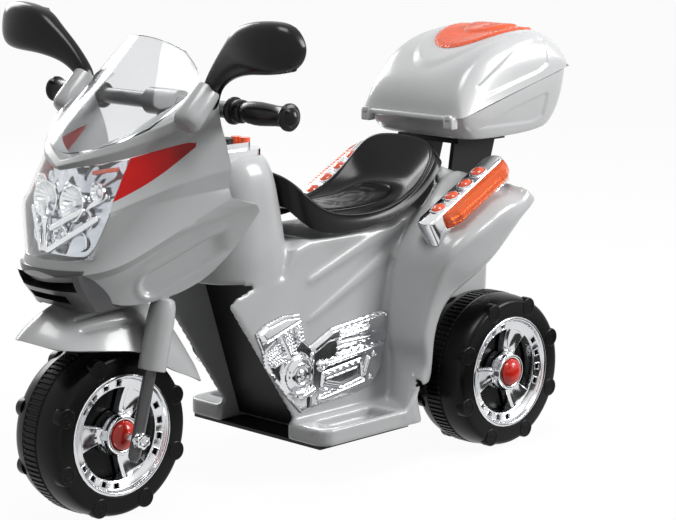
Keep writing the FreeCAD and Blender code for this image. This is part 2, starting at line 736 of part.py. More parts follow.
# Rear fender: four corners of each section as (back share, up share) of the wheel,
# measured from the rear axle: outer front, outer rear, inner rear, inner front; then
# the outer half-width share
REAR_FENDER_SHARES = [
    ((-0.757, -0.237), (-0.66, -0.237), (-0.55, -0.237), (-0.67, -0.237), 0.806),
    ((-0.721, 0.0), (-0.62, 0.0), (-0.53, 0.0), (-0.68, 0.0), 0.810),
    ((-0.674, 0.26), (-0.56, 0.26), (-0.49, 0.26), (-0.71, 0.26), 0.818),
    ((-0.63, 0.47), (-0.478, 0.485), (-0.43, 0.485), (-0.74, 0.475), 0.838),
    ((-0.585, 0.66), (-0.40, 0.57), (-0.36, 0.57), (-0.71, 0.68), 0.885),
    ((-0.545, 0.80), (-0.33, 0.63), (-0.29, 0.64), (-0.64, 0.84), 0.935),
    ((-0.43, 0.915), (-0.20, 0.72), (-0.17, 0.74), (-0.50, 1.02), 0.98),
    ((-0.22, 1.01), (-0.03, 0.86), (-0.01, 0.88), (-0.28, 1.24), 1.0),
    ((0.01, 1.10), (0.155, 1.01), (0.165, 1.02), (-0.03, 1.28), 1.0),
    ((0.158, 1.175), (0.263, 1.09), (0.263, 1.09), (0.074, 1.243), 0.98)]
# Seat, side outline and hollow as shares of the body, and the outline seen from above
SEAT_SHARES = [(0.205, 0.905), (0.222, 0.925), (0.30, 0.79), (0.40, 0.735), (0.56, 0.735),
               (0.67, 0.83), (0.745, 0.94), (0.785, 0.966), (0.805, 0.955), (0.785, 0.82),
               (0.70, 0.735), (0.585, 0.675), (0.29, 0.675), (0.245, 0.76)]
HOLLOW_SHARES = [(0.24, 1.1), (0.295, 0.80), (0.335, 0.735), (0.63, 0.735), (0.70, 0.79),
                 (0.765, 0.96), (0.77, 1.1)]
SEAT_LENGTH_SHARES = (0.205, 0.805)
SEAT_PLAN_SHARES = [(0.0, 0.66), (0.18, 0.88), (0.40, 0.98), (0.72, 1.0), (0.90, 0.92),
                    (1.0, 0.60)]
SEAT_CUT_TOP_SHARE = 1.1
WELL_SHARES = [(-0.1, 0.56), (0.17, 0.56), (0.30, 0.02), (0.30, -0.1), (-0.1, -0.1)]
LINER_SHARES = [(0.15, 0.555), (0.17, 0.555), (0.30, 0.02), (0.28, 0.02)]
FOOT_FRONT_SHARE = 0.209
# Ridges pressed in the flank: each from start to end as (length share, height share),
# with its width share at the start and at the end
RIDGE_SHARES = [((0.275, 0.535), (0.62, 0.69), 0.030, 0.075),
                ((0.275, 0.40), (0.64, 0.62), 0.020, 0.095)]


def body_y(share):
    """A place along the body, measured back from the neck."""
    return NECK_FRONT_Y + share * BODY_L


def body_z(share):
    """A height on the body."""
    return BODY_FLOOR_Z + share * BODY_H


def body_side(shares):
    """A side outline on the body, as (y, z) points."""
    return [(body_y(y), body_z(z)) for y, z in shares]


def level_ring(z, half, front, rear, radius):
    """A rounded rectangle in a level plane, across the trike's middle."""
    corners = [V(-half, front, z), V(half, front, z), V(half, rear, z), V(-half, rear, z)]
    return rounded_wire(corners, radius)


def tub():
    """The body's middle, from the raked front edge to the tail."""
    return side_form(body_side(TUB_SHARES), BODY_W / 2, BODY_BEVEL)


def neck():
    """Neck and tank form: a round-cornered column with a domed top."""
    wires = []
    for height, half, front, rear in NECK_SHARES:
        width = half * NECK_W / 2
        wires.append(level_ring(body_z(height), width, NECK_FRONT_Y + front * NECK_L,
                                NECK_FRONT_Y + rear * NECK_L, NECK_CORNER_SHARE * width))
    return loft(wires)


def ridges():
    """Tapered ridges on the rider's left flank."""
    bars = []
    for start, end, thin, thick in RIDGE_SHARES:
        (y0, z0), (y1, z1) = body_side([start, end])
        half0 = thin * BODY_H / 2
        half1 = thick * BODY_H / 2
        x = BODY_W / 2
        foot = sharp_wire([V(x, y0, z0 - half0), V(x, y1, z1 - half1), V(x, y1, z1 + half1),
                           V(x, y0, z0 + half0)])
        crest = sharp_wire([V(x + RIDGE_T, y0 + RIDGE_T, z0), V(x + RIDGE_T, y1, z1 - RIDGE_T),
                            V(x + RIDGE_T, y1, z1 + RIDGE_T),
                            V(x + RIDGE_T, y0 + RIDGE_T, z0 + OVER)])
        bars.append(loft([foot, crest], True))
    return bars


def footboards():
    """Footboard plate across the trike, with a raised rim round each recess."""
    front = body_y(FOOT_FRONT_SHARE)
    rear = REAR_AXLE_Y - FOOT_AHEAD
    leg_front = REAR_AXLE_Y + REAR_FENDER_SHARES[0][0][0] * WHEEL_D
    plate = prism(level_ring(BODY_FLOOR_Z, FOOT_W / 2, front, rear, FOOT_T), ALONG_Z * FOOT_T)
    recess = box(BODY_W / 2 + TRIM_T, FOOT_W / 2 - 2 * BODY_WALL, front + FOOT_TOE_GAP,
                 leg_front - FOOT_HEEL_GAP, BODY_FLOOR_Z + BODY_WALL,
                 BODY_FLOOR_Z + FOOT_T + OVER)
    return plate.cut(both(recess))


def rear_fender():
    """Leg and fender over a rear wheel in one form, on the rider's left."""
    wires = []
    for outer_front, outer_rear, inner_rear, inner_front, wide in REAR_FENDER_SHARES:
        x_out = wide * FENDER_OUT_X
        corners = [V(x, REAR_AXLE_Y + back * WHEEL_D, WHEEL_R + up * WHEEL_D)
                   for x, (back, up) in ((x_out, outer_front), (x_out, outer_rear),
                                         (BODY_W / 2, inner_rear), (BODY_W / 2, inner_front))]
        wires.append(rounded_wire(corners, 2 * BODY_WALL))
    return loft(wires)


def wheel_room():
    """The space that each rear wheel needs."""
    inner = REAR_TRACK / 2 - TYRE_W / 2 - BODY_WALL
    return both(Part.makeCylinder(WHEEL_R + 2 * BODY_WALL, 2 * TYRE_W,
                                  V(inner, REAR_AXLE_Y, WHEEL_R), ALONG_X))


def head_tube():
    """The steering head: a tube round the stem with a web back to the neck."""
    foot = V(0, steer_y(HEAD_FOOT_Z), HEAD_FOOT_Z)
    top = V(0, steer_y(HEAD_FOOT_Z + HEAD_H), HEAD_FOOT_Z + HEAD_H)
    tube = rod(foot, top, HEAD_D)
    web = side_prism([(foot.y, foot.z), (top.y, top.z),
                      (NECK_FRONT_Y + BODY_WALL, top.z),
                      (NECK_FRONT_Y + BODY_WALL, foot.z)], HEAD_D / 2)
    way = top - foot
    bore = rod(foot - way, top + way, STEM_D + 2 * STEM_RUNNING)
    return tube.fuse(web), bore


def seat_form(outline, wall, radius=0):
    """A side outline cut to the seat's outline seen from above, inside a wall if asked."""
    half = SEAT_W / 2 - wall
    start, end = [body_y(s) for s in SEAT_LENGTH_SHARES]
    plan = plan_prism(SEAT_PLAN_SHARES, start + wall, end - start - 2 * wall, half, 0,
                      body_z(SEAT_CUT_TOP_SHARE), SEAT_CORNER)
    return side_prism(body_side(outline), half, radius).common(plan)


def seat():
    """Black bucket seat: a saddle with raised sides and a low rounded back."""
    return seat_form(SEAT_SHARES, 0).cut(seat_form(HOLLOW_SHARES, SEAT_WALL, SEAT_WALL))


def body_parts():
    """Body shell, rear fenders, floor pan, well liner and seat."""
    tube, bore = head_tube()
    seat_room = seat_form(SEAT_SHARES, 0)
    well_half = BODY_W / 2 - BODY_WALL
    well = side_prism(body_side(WELL_SHARES), well_half)
    left_ridges = ridges()
    right_ridges = [mirror(r) for r in left_ridges]
    shell = tub().fuse([neck(), footboards(), tube] + left_ridges + right_ridges)
    shell = shell.cut([seat_room, well, bore] + wheel_room()).removeSplitter()
    half = FOOT_W / 2 - 2 * BODY_WALL
    front = body_y(FOOT_FRONT_SHARE) + BODY_WALL
    pan = box(-half, half, front, REAR_AXLE_Y - FOOT_AHEAD - BODY_WALL, BODY_FLOOR_Z - PAN_T,
              BODY_FLOOR_Z)
    rooms = [tub(), footboards(), pan, seat_room, siren()[0]]
    left = rear_fender().cut(rooms + wheel_room() + left_ridges)
    liner = side_prism(body_side(LINER_SHARES), well_half)
    return {"body_shell": shell, "rear_fender_left": left, "rear_fender_right": mirror(left),
            "well_liner": liner, "floor_pan": pan, "seat": seat()}


# Console: where it ends on the body, its two levels, and its knob and buttons
CONSOLE_REAR_SHARE = 0.18
CONSOLE_LOWER_SHARE = 0.6
CONSOLE_UPPER_SHARES = (0.42, 0.2)
KNOB_SHARES = (0.22, 0.35)
PUSH_SHARES = [(0.18, 0.67), (0.34, 0.67)]


def console():
    """Dash panel on the tank, with a knob and two buttons."""
    rear = body_y(CONSOLE_REAR_SHARE)
    front = rear - CONSOLE_L
    foot = body_z(NECK_TOP_SHARE) - CONSOLE_H / 2
    top = foot + CONSOLE_H
    lower = prism(level_ring(foot, CONSOLE_W / 2, front, rear, CONSOLE_L / 3),
                  ALONG_Z * (CONSOLE_H * CONSOLE_LOWER_SHARE))
    wide, back = CONSOLE_UPPER_SHARES
    upper = prism(level_ring(foot, wide * CONSOLE_W, front, rear - back * CONSOLE_L,
                             CONSOLE_L / 5), ALONG_Z * CONSOLE_H)
    panel = fuse([lower, upper]).cut([neck(), tub(), seat_form(SEAT_SHARES, 0)])
    across, along = KNOB_SHARES
    knob = Part.makeCylinder(KNOB_D / 2, CONSOLE_H / 4,
                             V(across * CONSOLE_W, front + along * CONSOLE_L, top))
    buttons = []
    for across, along in PUSH_SHARES:
        at = V(across * CONSOLE_W, front + along * CONSOLE_L, top)
        buttons.append(Part.makeCylinder(KNOB_D / 4, CONSOLE_H / 4, at))
    return panel, knob, Part.Compound(buttons)


# Siren bar: its nose as shares of the rear wheel, measured from the rear axle, its lens
# outline at the foot and at the crest as (start, end, low, high) shares, and its buttons
SIREN_START_SHARES = (-0.603, 0.890)
LENS_FOOT_SHARES = (0.20, 0.92, 0.15, 0.85)
LENS_CREST_SHARES = (0.32, 0.88, 0.25, 0.75)
BUTTON_START_SHARE = 0.16
BUTTON_STEP_SHARE = 0.18


def siren_base():
    """The siren's nose, about which the bar is tilted."""
    back, up = SIREN_START_SHARES
    return V(0, REAR_AXLE_Y + back * WHEEL_D, WHEEL_R + up * WHEEL_D)


def siren_lens_wire(x, shares):
    """One upright outline of the siren's lens."""
    base = siren_base()
    start, end, low, high = shares
    return sharp_wire([V(x, base.y + a * SIREN_L, base.z + b * SIREN_H)
                       for a, b in ((start, low), (end, low), (end, high), (start, high))])


def siren():
    """Siren bar on the rider's left: housing, lens and four buttons."""
    base = siren_base()
    nose_r = SIREN_W / 2
    left = SIREN_X + nose_r
    right = SIREN_X - nose_r
    rear = base.y + SIREN_L
    ring = [V(right, base.y + nose_r, base.z), V(SIREN_X, base.y, base.z),
            V(left, base.y + nose_r, base.z)]
    edges = [Part.Arc(*ring).toShape(),
             Part.LineSegment(ring[2], V(left, rear, base.z)).toShape(),
             Part.LineSegment(V(left, rear, base.z), V(right, rear, base.z)).toShape(),
             Part.LineSegment(V(right, rear, base.z), ring[0]).toShape()]
    bar = prism(Part.Wire(edges), ALONG_Z * SIREN_H)
    lens = loft([siren_lens_wire(left, LENS_FOOT_SHARES),
                 siren_lens_wire(left + SIREN_LENS_W, LENS_CREST_SHARES)], True)
    buttons = []
    for i in range(BUTTONS):
        along = BUTTON_START_SHARE + BUTTON_STEP_SHARE * i
        at = V(SIREN_X, base.y + along * SIREN_L, base.z + SIREN_H)
        buttons.append(Part.makeCone(BUTTON_D / 2, BUTTON_D / 4, BUTTON_H, at, ALONG_Z))
    tilt = [turned(s, base, ALONG_X, SIREN_TILT_DEG) for s in [bar, lens] + buttons]
    return tilt[0], tilt[1], tilt[2:]


# Engine relief, as (length share, height share) of the body
CASE_SHARES = [(0.29, 0.09), (0.545, 0.12), (0.565, 0.37), (0.33, 0.29), (0.28, 0.22)]
RIB_SHARES = [(0.33, 0.245, 0.53, 0.305), (0.33, 0.19, 0.53, 0.24), (0.34, 0.11, 0.52, 0.13)]
CLUTCH_SHARES = (0.25, 0.215)
BARREL_SHARES = [(0.115, 0.43), (0.25, 0.43), (0.27, 0.25), (0.165, 0.25)]
FIN_ROW_SHARES = (0.275, 0.425)
FIN_FRONT_SHARE = 0.10
FIN_REAR_SHARE = 0.275
FIN_LEAN_SHARE = 0.055


def trim_prism(shares, thickness):
    """A raised pad of the engine relief on the rider's left flank."""
    corners = [V(BODY_W / 2, y, z) for y, z in body_side(shares)]
    return prism(rounded_wire(corners, FIN_T), ALONG_X * thickness)


def fin_shares(i):
    """The outline of one cooling fin, in shares of the body."""
    low, high = FIN_ROW_SHARES
    foot = low + (high - low) * i / (FINS - 1)
    front = FIN_FRONT_SHARE + FIN_LEAN_SHARE * (FINS - 1 - i) / (FINS - 1)
    top = foot + FIN_T / BODY_H
    return [(front, foot), (FIN_REAR_SHARE, foot), (FIN_REAR_SHARE, top), (front, top)]


def rib_shares(rib):
    """The outline of one crankcase rib, in shares of the body."""
    y0, z0, y1, z1 = rib
    rise = FIN_T / BODY_H
    return [(y0, z0), (y1, z1), (y1, z1 + rise), (y0, z0 + rise)]


def engine_trim():
    """Engine relief on the rider's left: finned cylinder, round cover, ribbed crankcase."""
    centre = V(BODY_W / 2, *body_side([CLUTCH_SHARES])[0])
    disc = Part.makeCone(2 * TRIM_T + FIN_T, 2 * TRIM_T, TRIM_T + FIN_T, centre, ALONG_X)
    pieces = [trim_prism(CASE_SHARES, TRIM_T), disc, trim_prism(BARREL_SHARES, TRIM_T - FIN_T)]
    pieces += [trim_prism(fin_shares(i), TRIM_T) for i in range(FINS)]
    pieces += [trim_prism(rib_shares(rib), TRIM_T + FIN_T) for rib in RIB_SHARES]
    return fuse(pieces).cut([rear_fender(), footboards()])


# Drive
GEARBOX_TOP_SHARE = 0.265


def rear_axle():
    """Rear axle with a shoulder beside each wheel."""
    half = REAR_TRACK / 2 + TYRE_W / 2 - RIM_LIP
    shoulder = REAR_TRACK / 2 - TYRE_W / 2 + RIM_LIP - FIT
    bar = rod(V(-half, REAR_AXLE_Y, WHEEL_R), V(half, REAR_AXLE_Y, WHEEL_R), AXLE_D)
    collar = rod(V(GEARBOX_W / 2, REAR_AXLE_Y, WHEEL_R), V(shoulder, REAR_AXLE_Y, WHEEL_R),
                 2 * AXLE_D)
    return fuse([bar] + both(collar))


def gearbox():
    """Motor and gearbox, one plain block on the axle under the body."""
    top = body_z(GEARBOX_TOP_SHARE)
    block = box(-GEARBOX_W / 2, GEARBOX_W / 2, REAR_AXLE_Y - GEARBOX_L / 2,
                REAR_AXLE_Y + GEARBOX_L / 2, top - GEARBOX_H, top)
    bore = rod(V(-GEARBOX_W, REAR_AXLE_Y, WHEEL_R), V(GEARBOX_W, REAR_AXLE_Y, WHEEL_R), AXLE_D)
    return block.cut(bore)


# Top box. Lid outlines above the seam: (height share, front and rear length shares,
# front and rear width shares); tray outlines: (front and rear inset shares, front and
# rear width shares, front and rear drop shares of its height)
SEAM_FRONT_W_SHARE = 0.92
LID_SHARES = [(0.45, 0.13, 0.995, 0.80, 0.93), (0.85, 0.28, 0.985, 0.62, 0.80),
              (1.0, 0.38, 0.93, 0.48, 0.62)]
LID_FALL_SHARE = 0.14
TRAY_SHARES = [(0.13, 0.12, 0.78, 0.80), (0.05, 0.05, 0.87, 0.92)]
TRAY_DROP_SHARES = [(1.0, 0.75), (0.45, 0.90)]
BOX_CORNER = BOX_L / 8
# Lid lens outline as (half-width share, length share)
LID_LENS_SHARES = [(0.0, 0.30), (0.30, 0.62), (0.36, 0.97), (0.0, 0.90), (-0.36, 0.97),
                   (-0.30, 0.62)]
BRACKET_LENGTH_SHARES = (0.17, 0.62)
BRACKET_W_SHARE = 0.27
BRACKET_FOOT_SHARE = 0.70


def box_seam_z():
    """Height of the box's seam at its hinge."""
    return body_z(BOX_SEAM_SHARE)


def seam_z(y):
    """Height of the box's tilted seam."""
    return box_seam_z() + (y - BOX_FRONT_Y) * math.tan(math.radians(SEAM_TILT_DEG))


def box_ring(front, rear, half_front, half_rear, z_front, z_rear):
    """A rounded outline across the box, in a plane that may be tilted."""
    corners = [V(-half_front, front, z_front), V(half_front, front, z_front),
               V(half_rear, rear, z_rear), V(-half_rear, rear, z_rear)]
    return rounded_wire(corners, BOX_CORNER)


def seam_ring(wall, lift):
    """The outline at the seam, inside a wall if asked, lifted off it."""
    front = BOX_FRONT_Y + wall
    rear = BOX_FRONT_Y + BOX_L - wall
    half = BOX_W / 2 - wall
    return box_ring(front, rear, SEAM_FRONT_W_SHARE * half, half, seam_z(front) + lift,
                    seam_z(rear) + lift)


def lid_body(wall):
    """The lid's full form, or the space inside its wall."""
    half = BOX_W / 2 - wall
    rings = [seam_ring(wall, -OVER if wall else LID_GAP / 2)]
    for height, a, b, wide_front, wide_rear in LID_SHARES:
        front = BOX_FRONT_Y + a * BOX_L + wall
        rear = BOX_FRONT_Y + b * BOX_L - wall
        z_front = box_seam_z() + height * (LID_H - wall)
        rise = (1 - height) * (seam_z(rear) - box_seam_z())
        z_rear = z_front + rise - LID_FALL_SHARE * height * LID_H
        rings.append(box_ring(front, rear, wide_front * half, wide_rear * half, z_front, z_rear))
    return loft(rings)


def tray_body(wall):
    """The tray's full form, or the space inside its wall."""
    half = BOX_W / 2 - wall
    rings = []
    for (near, far, wide_front, wide_rear), (drop_front, drop_rear) in zip(TRAY_SHARES,
                                                                           TRAY_DROP_SHARES):
        front = BOX_FRONT_Y + near * BOX_L + wall
        rear = BOX_FRONT_Y + (1 - far) * BOX_L - wall
        z_front = box_seam_z() - drop_front * TRAY_H + wall
        z_rear = seam_z(rear) - drop_rear * TRAY_H + wall
        if not rings:
            z_rear = box_seam_z() - drop_rear * TRAY_H + wall
        rings.append(box_ring(front, rear, wide_front * half, wide_rear * half, z_front, z_rear))
    rings.append(seam_ring(wall, OVER if wall else -LID_GAP / 2))
    return loft(rings, True)


def hinge_bars(diameter, first, last, grow=0):
    """Round bars on the hinge axis at both hinges, from one knuckle to another."""
    y = BOX_FRONT_Y - KNUCKLE_D / 2 + OVER
    bars = []
    for middle in (-HINGE_SPAN / 2, HINGE_SPAN / 2):
        start = V(middle + first * KNUCKLE_L - grow, y, box_seam_z())
        end = V(middle + last * KNUCKLE_L + grow, y, box_seam_z())
        bars.append(rod(start, end, diameter))
    return bars


def top_box_parts():
    """Tray, lid, lid lens and the bracket under the box."""
    tray = tray_body(0).cut(tray_body(BOX_T))
    lid = lid_body(0).cut(lid_body(BOX_T))
    room_d = KNUCKLE_D + 2 * FIT
    tray_ears = hinge_bars(KNUCKLE_D, -1, 0)
    lid_ears = hinge_bars(KNUCKLE_D, 0, 1, -FIT)
    pins = hinge_bars(HINGE_PIN_D, -1, 1)
    holes = hinge_bars(HINGE_PIN_D + 2 * HINGE_RUNNING, -1, 1, OVER)
    tray = tray.cut(hinge_bars(room_d, 0, 1)).fuse(tray_ears + pins)
    lid = lid.cut(hinge_bars(room_d, -1, 0)).fuse(lid_ears).cut(holes)
    return {"box_tray": tray, "box_lid": lid, "lid_lens": lid_lens(), "box_bracket": bracket()}


def lid_lens():
    """Lens laid on the lid's top, following its surface."""
    pad = lid_body(0)
    pad.translate(ALONG_Z * BOX_T)
    foot = box_seam_z() + LID_H / 2
    points = [V(x * BOX_W / 2, BOX_FRONT_Y + y * BOX_L, foot) for x, y in LID_LENS_SHARES]
    cutter = prism(sharp_wire(points), ALONG_Z * LID_H)
    return pad.common(cutter).cut(lid_body(0))


def bracket():
    """Black carrier between the body's rear deck and the box."""
    top = box_seam_z() - TRAY_H
    front, rear = [BOX_FRONT_Y + s * BOX_L for s in BRACKET_LENGTH_SHARES]
    half = BRACKET_W_SHARE * BOX_W
    plate = box(-half, half, front, rear, top - BRACKET_T, top)
    deck_z = body_z(BRACKET_FOOT_SHARE)
    arm = [(front, top - BRACKET_T), (rear - 2 * BRACKET_T, top - BRACKET_T),
           (rear - 6 * BRACKET_T, deck_z), (front - 2 * BRACKET_T, deck_z)]
    corners = [V(half - 2 * BRACKET_T, y, z) for y, z in arm]
    side = prism(sharp_wire(corners), ALONG_X * BRACKET_T)
    shape = fuse([plate] + both(side))
    fender_left = rear_fender()
    return shape.cut([tub(), seat_form(SEAT_SHARES, 0), fender_left, mirror(fender_left)])


def build_all():
    """Every node by its name."""
    nodes = {}
    nodes.update(front_wheel())
    nodes.update(rear_wheel(1, "left"))
    nodes.update(rear_wheel(-1, "right"))
    nodes.update(steering_parts())
    nodes["front_fender"] = fender()
    nodes.update(fairing_parts())
    housing, glass = mirror_housing()
    nodes["mirror_left"] = housing
    nodes["mirror_right"] = mirror(housing)
    nodes["mirror_glass_left"] = glass
    nodes["mirror_glass_right"] = mirror(glass)
    nodes.update(body_parts())
    panel, knob, buttons = console()
    nodes["console"] = panel
    nodes["console_knob"] = knob
    nodes["console_buttons"] = buttons
    bar, lens, domes = siren()
    nodes["siren_left"] = bar
    nodes["siren_right"] = mirror(bar)
    nodes["siren_lens_left"] = lens
    nodes["siren_lens_right"] = mirror(lens)
    nodes["siren_buttons"] = Part.Compound(domes + [mirror(d) for d in domes])
    trim = engine_trim()
    nodes["engine_trim_left"] = trim
    nodes["engine_trim_right"] = mirror(trim)
    nodes["rear_axle"] = rear_axle()
    nodes["gearbox"] = gearbox()
    nodes.update(top_box_parts())
    return nodes


def main():
    os.makedirs("parts", exist_ok=True)
    for name, shape in build_all().items():
        shape.exportStep("parts/" + name + ".step")


main()
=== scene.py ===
"""Looks of the child's ride-on motorized trike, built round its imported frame.

The frame, the camera and the lamps are in metres. Meshes are made in millimetres with the
same axes, and piece() brings them to metres.
"""
import bmesh
import bpy
import math
from mathutils import Matrix, Vector
from mathutils.bvhtree import BVHTree


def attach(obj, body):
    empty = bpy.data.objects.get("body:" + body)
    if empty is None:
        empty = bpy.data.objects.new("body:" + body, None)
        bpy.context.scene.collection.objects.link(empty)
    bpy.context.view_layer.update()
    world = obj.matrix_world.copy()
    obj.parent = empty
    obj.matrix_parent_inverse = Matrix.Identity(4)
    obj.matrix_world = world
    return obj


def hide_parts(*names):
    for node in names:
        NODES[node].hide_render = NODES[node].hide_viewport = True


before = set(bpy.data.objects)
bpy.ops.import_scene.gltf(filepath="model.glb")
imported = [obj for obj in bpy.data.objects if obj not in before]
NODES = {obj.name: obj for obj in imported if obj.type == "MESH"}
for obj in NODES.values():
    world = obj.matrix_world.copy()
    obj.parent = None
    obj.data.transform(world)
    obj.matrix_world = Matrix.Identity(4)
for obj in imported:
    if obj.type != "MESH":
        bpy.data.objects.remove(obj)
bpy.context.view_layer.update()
MM = 0.001
FLIP = Matrix.Scale(-1, 4, (1, 0, 0))
FRONT_AXLE = Matrix.Translation((0.0, -290.0, 95.0))
REAR_WHEEL = Matrix.Translation((108.0, 232.0, 95.0))


# Camera, at the photograph's viewing angle

def camera():
    """The photograph's camera, worked out from the wheels and the wheelbase."""
    place = Vector((1.816, -1.753, 0.721))
    azimuth = math.radians(44.947)
    down = math.radians(11.084)
    data = bpy.data.cameras.new("camera")
    data.sensor_width = 36.0
    data.lens = 116.05
    data.shift_x = 0.01175
    data.shift_y = 0.02303
    data.clip_start = 0.05
    cam = bpy.data.objects.new("camera", data)
    cam.location = place
    cam.rotation_euler = (math.pi / 2 - down, 0.0, azimuth)
    bpy.context.collection.objects.link(cam)
    bpy.context.scene.camera = cam


# Materials

PLASTIC_IOR = 1.49
# Moulded plastics: name, darker and lighter tone, roughness, coat, bump, specular level
PLASTICS = {
    "silver": ("silver_plastic", (0.41, 0.415, 0.42), (0.44, 0.445, 0.45),
               0.24, 0.22, 0.03, 0.35),
    "pale": ("pale_silver_plastic", (0.50, 0.505, 0.51), (0.54, 0.545, 0.55),
             0.24, 0.22, 0.03, 0.35),
    "black": ("black_plastic", (0.003, 0.003, 0.003), (0.005, 0.005, 0.005),
              0.22, 0.0, 0.03, 0.22),
    "dull": ("dull_black_plastic", (0.004, 0.004, 0.004), (0.007, 0.007, 0.007),
             0.42, 0.0, 0.08, 0.2),
    "tyre": ("tyre_plastic", (0.002, 0.002, 0.002), (0.004, 0.004, 0.004),
             0.27, 0.0, 0.05, 0.14),
    "cap": ("cap_red_plastic", (0.50, 0.014, 0.006), (0.58, 0.022, 0.010),
            0.20, 0.3, 0.02, 0.3),
    "fork": ("dark_painted_tube", (0.05, 0.05, 0.053), (0.065, 0.065, 0.069),
             0.3, 0.2, 0.03, 0.5),
    "red": ("red_lens", (0.30, 0.0, 0.0), (0.60, 0.003, 0.002), 0.16, 0.12, 0.03, 0.2),
    "orange": ("orange_plastic", (0.80, 0.075, 0.012), (0.86, 0.10, 0.02),
               0.14, 0.6, 0.02, 0.5),
}
CHROME_TONES = ((0.66, 0.67, 0.69), (0.76, 0.77, 0.78))
# Plated plastic and metal: name, darker and lighter tone
PLATINGS = {
    "chrome": ("chrome_plastic", *CHROME_TONES),
    "steel": ("steel", *CHROME_TONES),
    "mirror": ("mirror_foil", *CHROME_TONES),
    "bowl": ("bowl_chrome", (0.74, 0.75, 0.77), (0.84, 0.85, 0.86)),
    # bowl_back is a darker plating that stands for the shadowed inside of the headlamp: painted
    # shade
    "bowl_back": ("bowl_painted_shade", (0.46, 0.48, 0.53), (0.74, 0.76, 0.80)),
}
# Clear plastics: name, tint, roughness, IOR, transmission, specular level
CLEARS = {
    "screen": ("screen_plastic", (0.78, 0.79, 0.80), 0.06, 1.22, 1.0, 0.2),
    "clear": ("clear_plastic", (0.96, 0.98, 0.985), 0.03, PLASTIC_IOR, 1.0, 0.5),
    "amber": ("amber_lens", (1.0, 0.16, 0.03), 0.12, PLASTIC_IOR, 0.55, 0.5),
}


def new_material(name):
    """An empty node material, its node tree and its shader."""
    mat = bpy.data.materials.new(name)
    mat.use_nodes = True
    return mat, mat.node_tree, mat.node_tree.nodes["Principled BSDF"]


def set_inputs(node, values):
    """Constants on a node's own sockets."""
    for name, value in values.items():
        node.inputs[name].default_value = value


def noise(tree, scale, detail=2.0):
    """The output of a noise in object space, which doesn't depend on UVs."""
    coord = tree.nodes.new("ShaderNodeTexCoord")
    node = tree.nodes.new("ShaderNodeTexNoise")
    set_inputs(node, {"Scale": scale, "Detail": detail})
    tree.links.new(coord.outputs["Object"], node.inputs["Vector"])
    return node.outputs["Fac"]


def noise_bump(tree, shader, scale, strength, distance=0.0004, detail=4.0):
    """Fine bump from noise."""
    bump = tree.nodes.new("ShaderNodeBump")
    set_inputs(bump, {"Strength": strength, "Distance": distance})
    tree.links.new(noise(tree, scale, detail), bump.inputs["Height"])
    tree.links.new(bump.outputs["Normal"], shader.inputs["Normal"])


def varied_colour(tree, shader, low, high, scale):
    """A colour that drifts a little between two close tones."""
    ramp = tree.nodes.new("ShaderNodeValToRGB")
    for element, place, tone in zip(ramp.color_ramp.elements, (0.35, 0.65), (low, high)):
        element.position = place
        element.color = (*tone, 1.0)
    tree.links.new(noise(tree, scale, 3.0), ramp.inputs["Fac"])
    tree.links.new(ramp.outputs["Color"], shader.inputs["Base Color"])


def varied_roughness(tree, shader, low, high, scale):
    """Roughness that changes a little over the surface."""
    span = tree.nodes.new("ShaderNodeMapRange")
    set_inputs(span, {"To Min": low, "To Max": high})
    tree.links.new(noise(tree, scale), span.inputs["Value"])
    tree.links.new(span.outputs["Result"], shader.inputs["Roughness"])


def moulded_plastic(name, low, high, rough, coat, bump, specular):
    """Injection-moulded plastic: slight tone drift, faint flow marks, optional gloss coat."""
    mat, tree, shader = new_material(name)
    varied_colour(tree, shader, low, high, 9.0)
    varied_roughness(tree, shader, rough - 0.03, rough + 0.05, 30.0)
    noise_bump(tree, shader, 60.0, bump)
    set_inputs(shader, {"IOR": PLASTIC_IOR, "Specular IOR Level": specular,
                        "Coat Weight": coat, "Coat Roughness": 0.08})
    return mat


def plated(name, low, high):
    """Plated plastic or bare metal with the slight waves of its surface."""
    mat, tree, shader = new_material(name)
    varied_colour(tree, shader, low, high, 20.0)
    set_inputs(shader, {"Metallic": 1.0})
    varied_roughness(tree, shader, 0.10, 0.17, 40.0)
    noise_bump(tree, shader, 35.0, 0.06, 0.0005, 2.0)
    return mat


def clear_lens(name, tint, rough, ior, weight, specular):
    """Clear or tinted transparent plastic."""
    mat, tree, shader = new_material(name)
    varied_colour(tree, shader, tint, tuple(min(1.0, c * 1.05) for c in tint), 15.0)
    set_inputs(shader, {"Transmission Weight": weight, "Roughness": rough, "IOR": ior,
                        "Specular IOR Level": specular})
    noise_bump(tree, shader, 25.0, 0.02)
    return mat


def make_materials():
    """Every material by its key."""
    made = {}
    for make, table in ((moulded_plastic, PLASTICS), (plated, PLATINGS), (clear_lens, CLEARS)):
        made.update({key: make(*values) for key, values in table.items()})
    return made


FINISH = {
    "silver": ("body_shell", "rear_fender_left", "rear_fender_right", "box_tray", "box_lid",
               "fork_covers", "front_fender", "fairing"),
    "black": ("seat", "grip_left", "grip_right", "mirror_left", "mirror_right"),
    # The well liner is dull black as painted shade for the shadowed inside of the body's open
    # front
    "dull": ("well_liner", "floor_pan", "console_knob", "gearbox", "box_bracket",
             "fairing_frame"),
    "tyre": ("front_tyre", "rear_tyre_left", "rear_tyre_right"),
    "chrome": ("console", "siren_left", "siren_right", "engine_trim_left",
               "engine_trim_right", "headlamp_reflector", "front_rim_covers",
               "rear_rim_cover_left", "rear_rim_cover_right"),
    # The grille takes this dark grey as painted shade: its silver bars lie in shadow under the
    # cowl
    "fork": ("fork_tubes", "fork_crown", "handlebar", "grille"),
    "steel": ("rear_axle", "front_axle"),
    "mirror": ("mirror_glass_left", "mirror_glass_right"),
    "clear": ("headlamp_lens", "windscreen"),
    "red": ("turn_lens_left", "turn_lens_right"),
    "orange": ("console_buttons", "siren_lens_left", "siren_lens_right", "siren_buttons",
               "lid_lens", "front_hub_caps", "rear_hub_cap_left", "rear_hub_cap_right"),
}


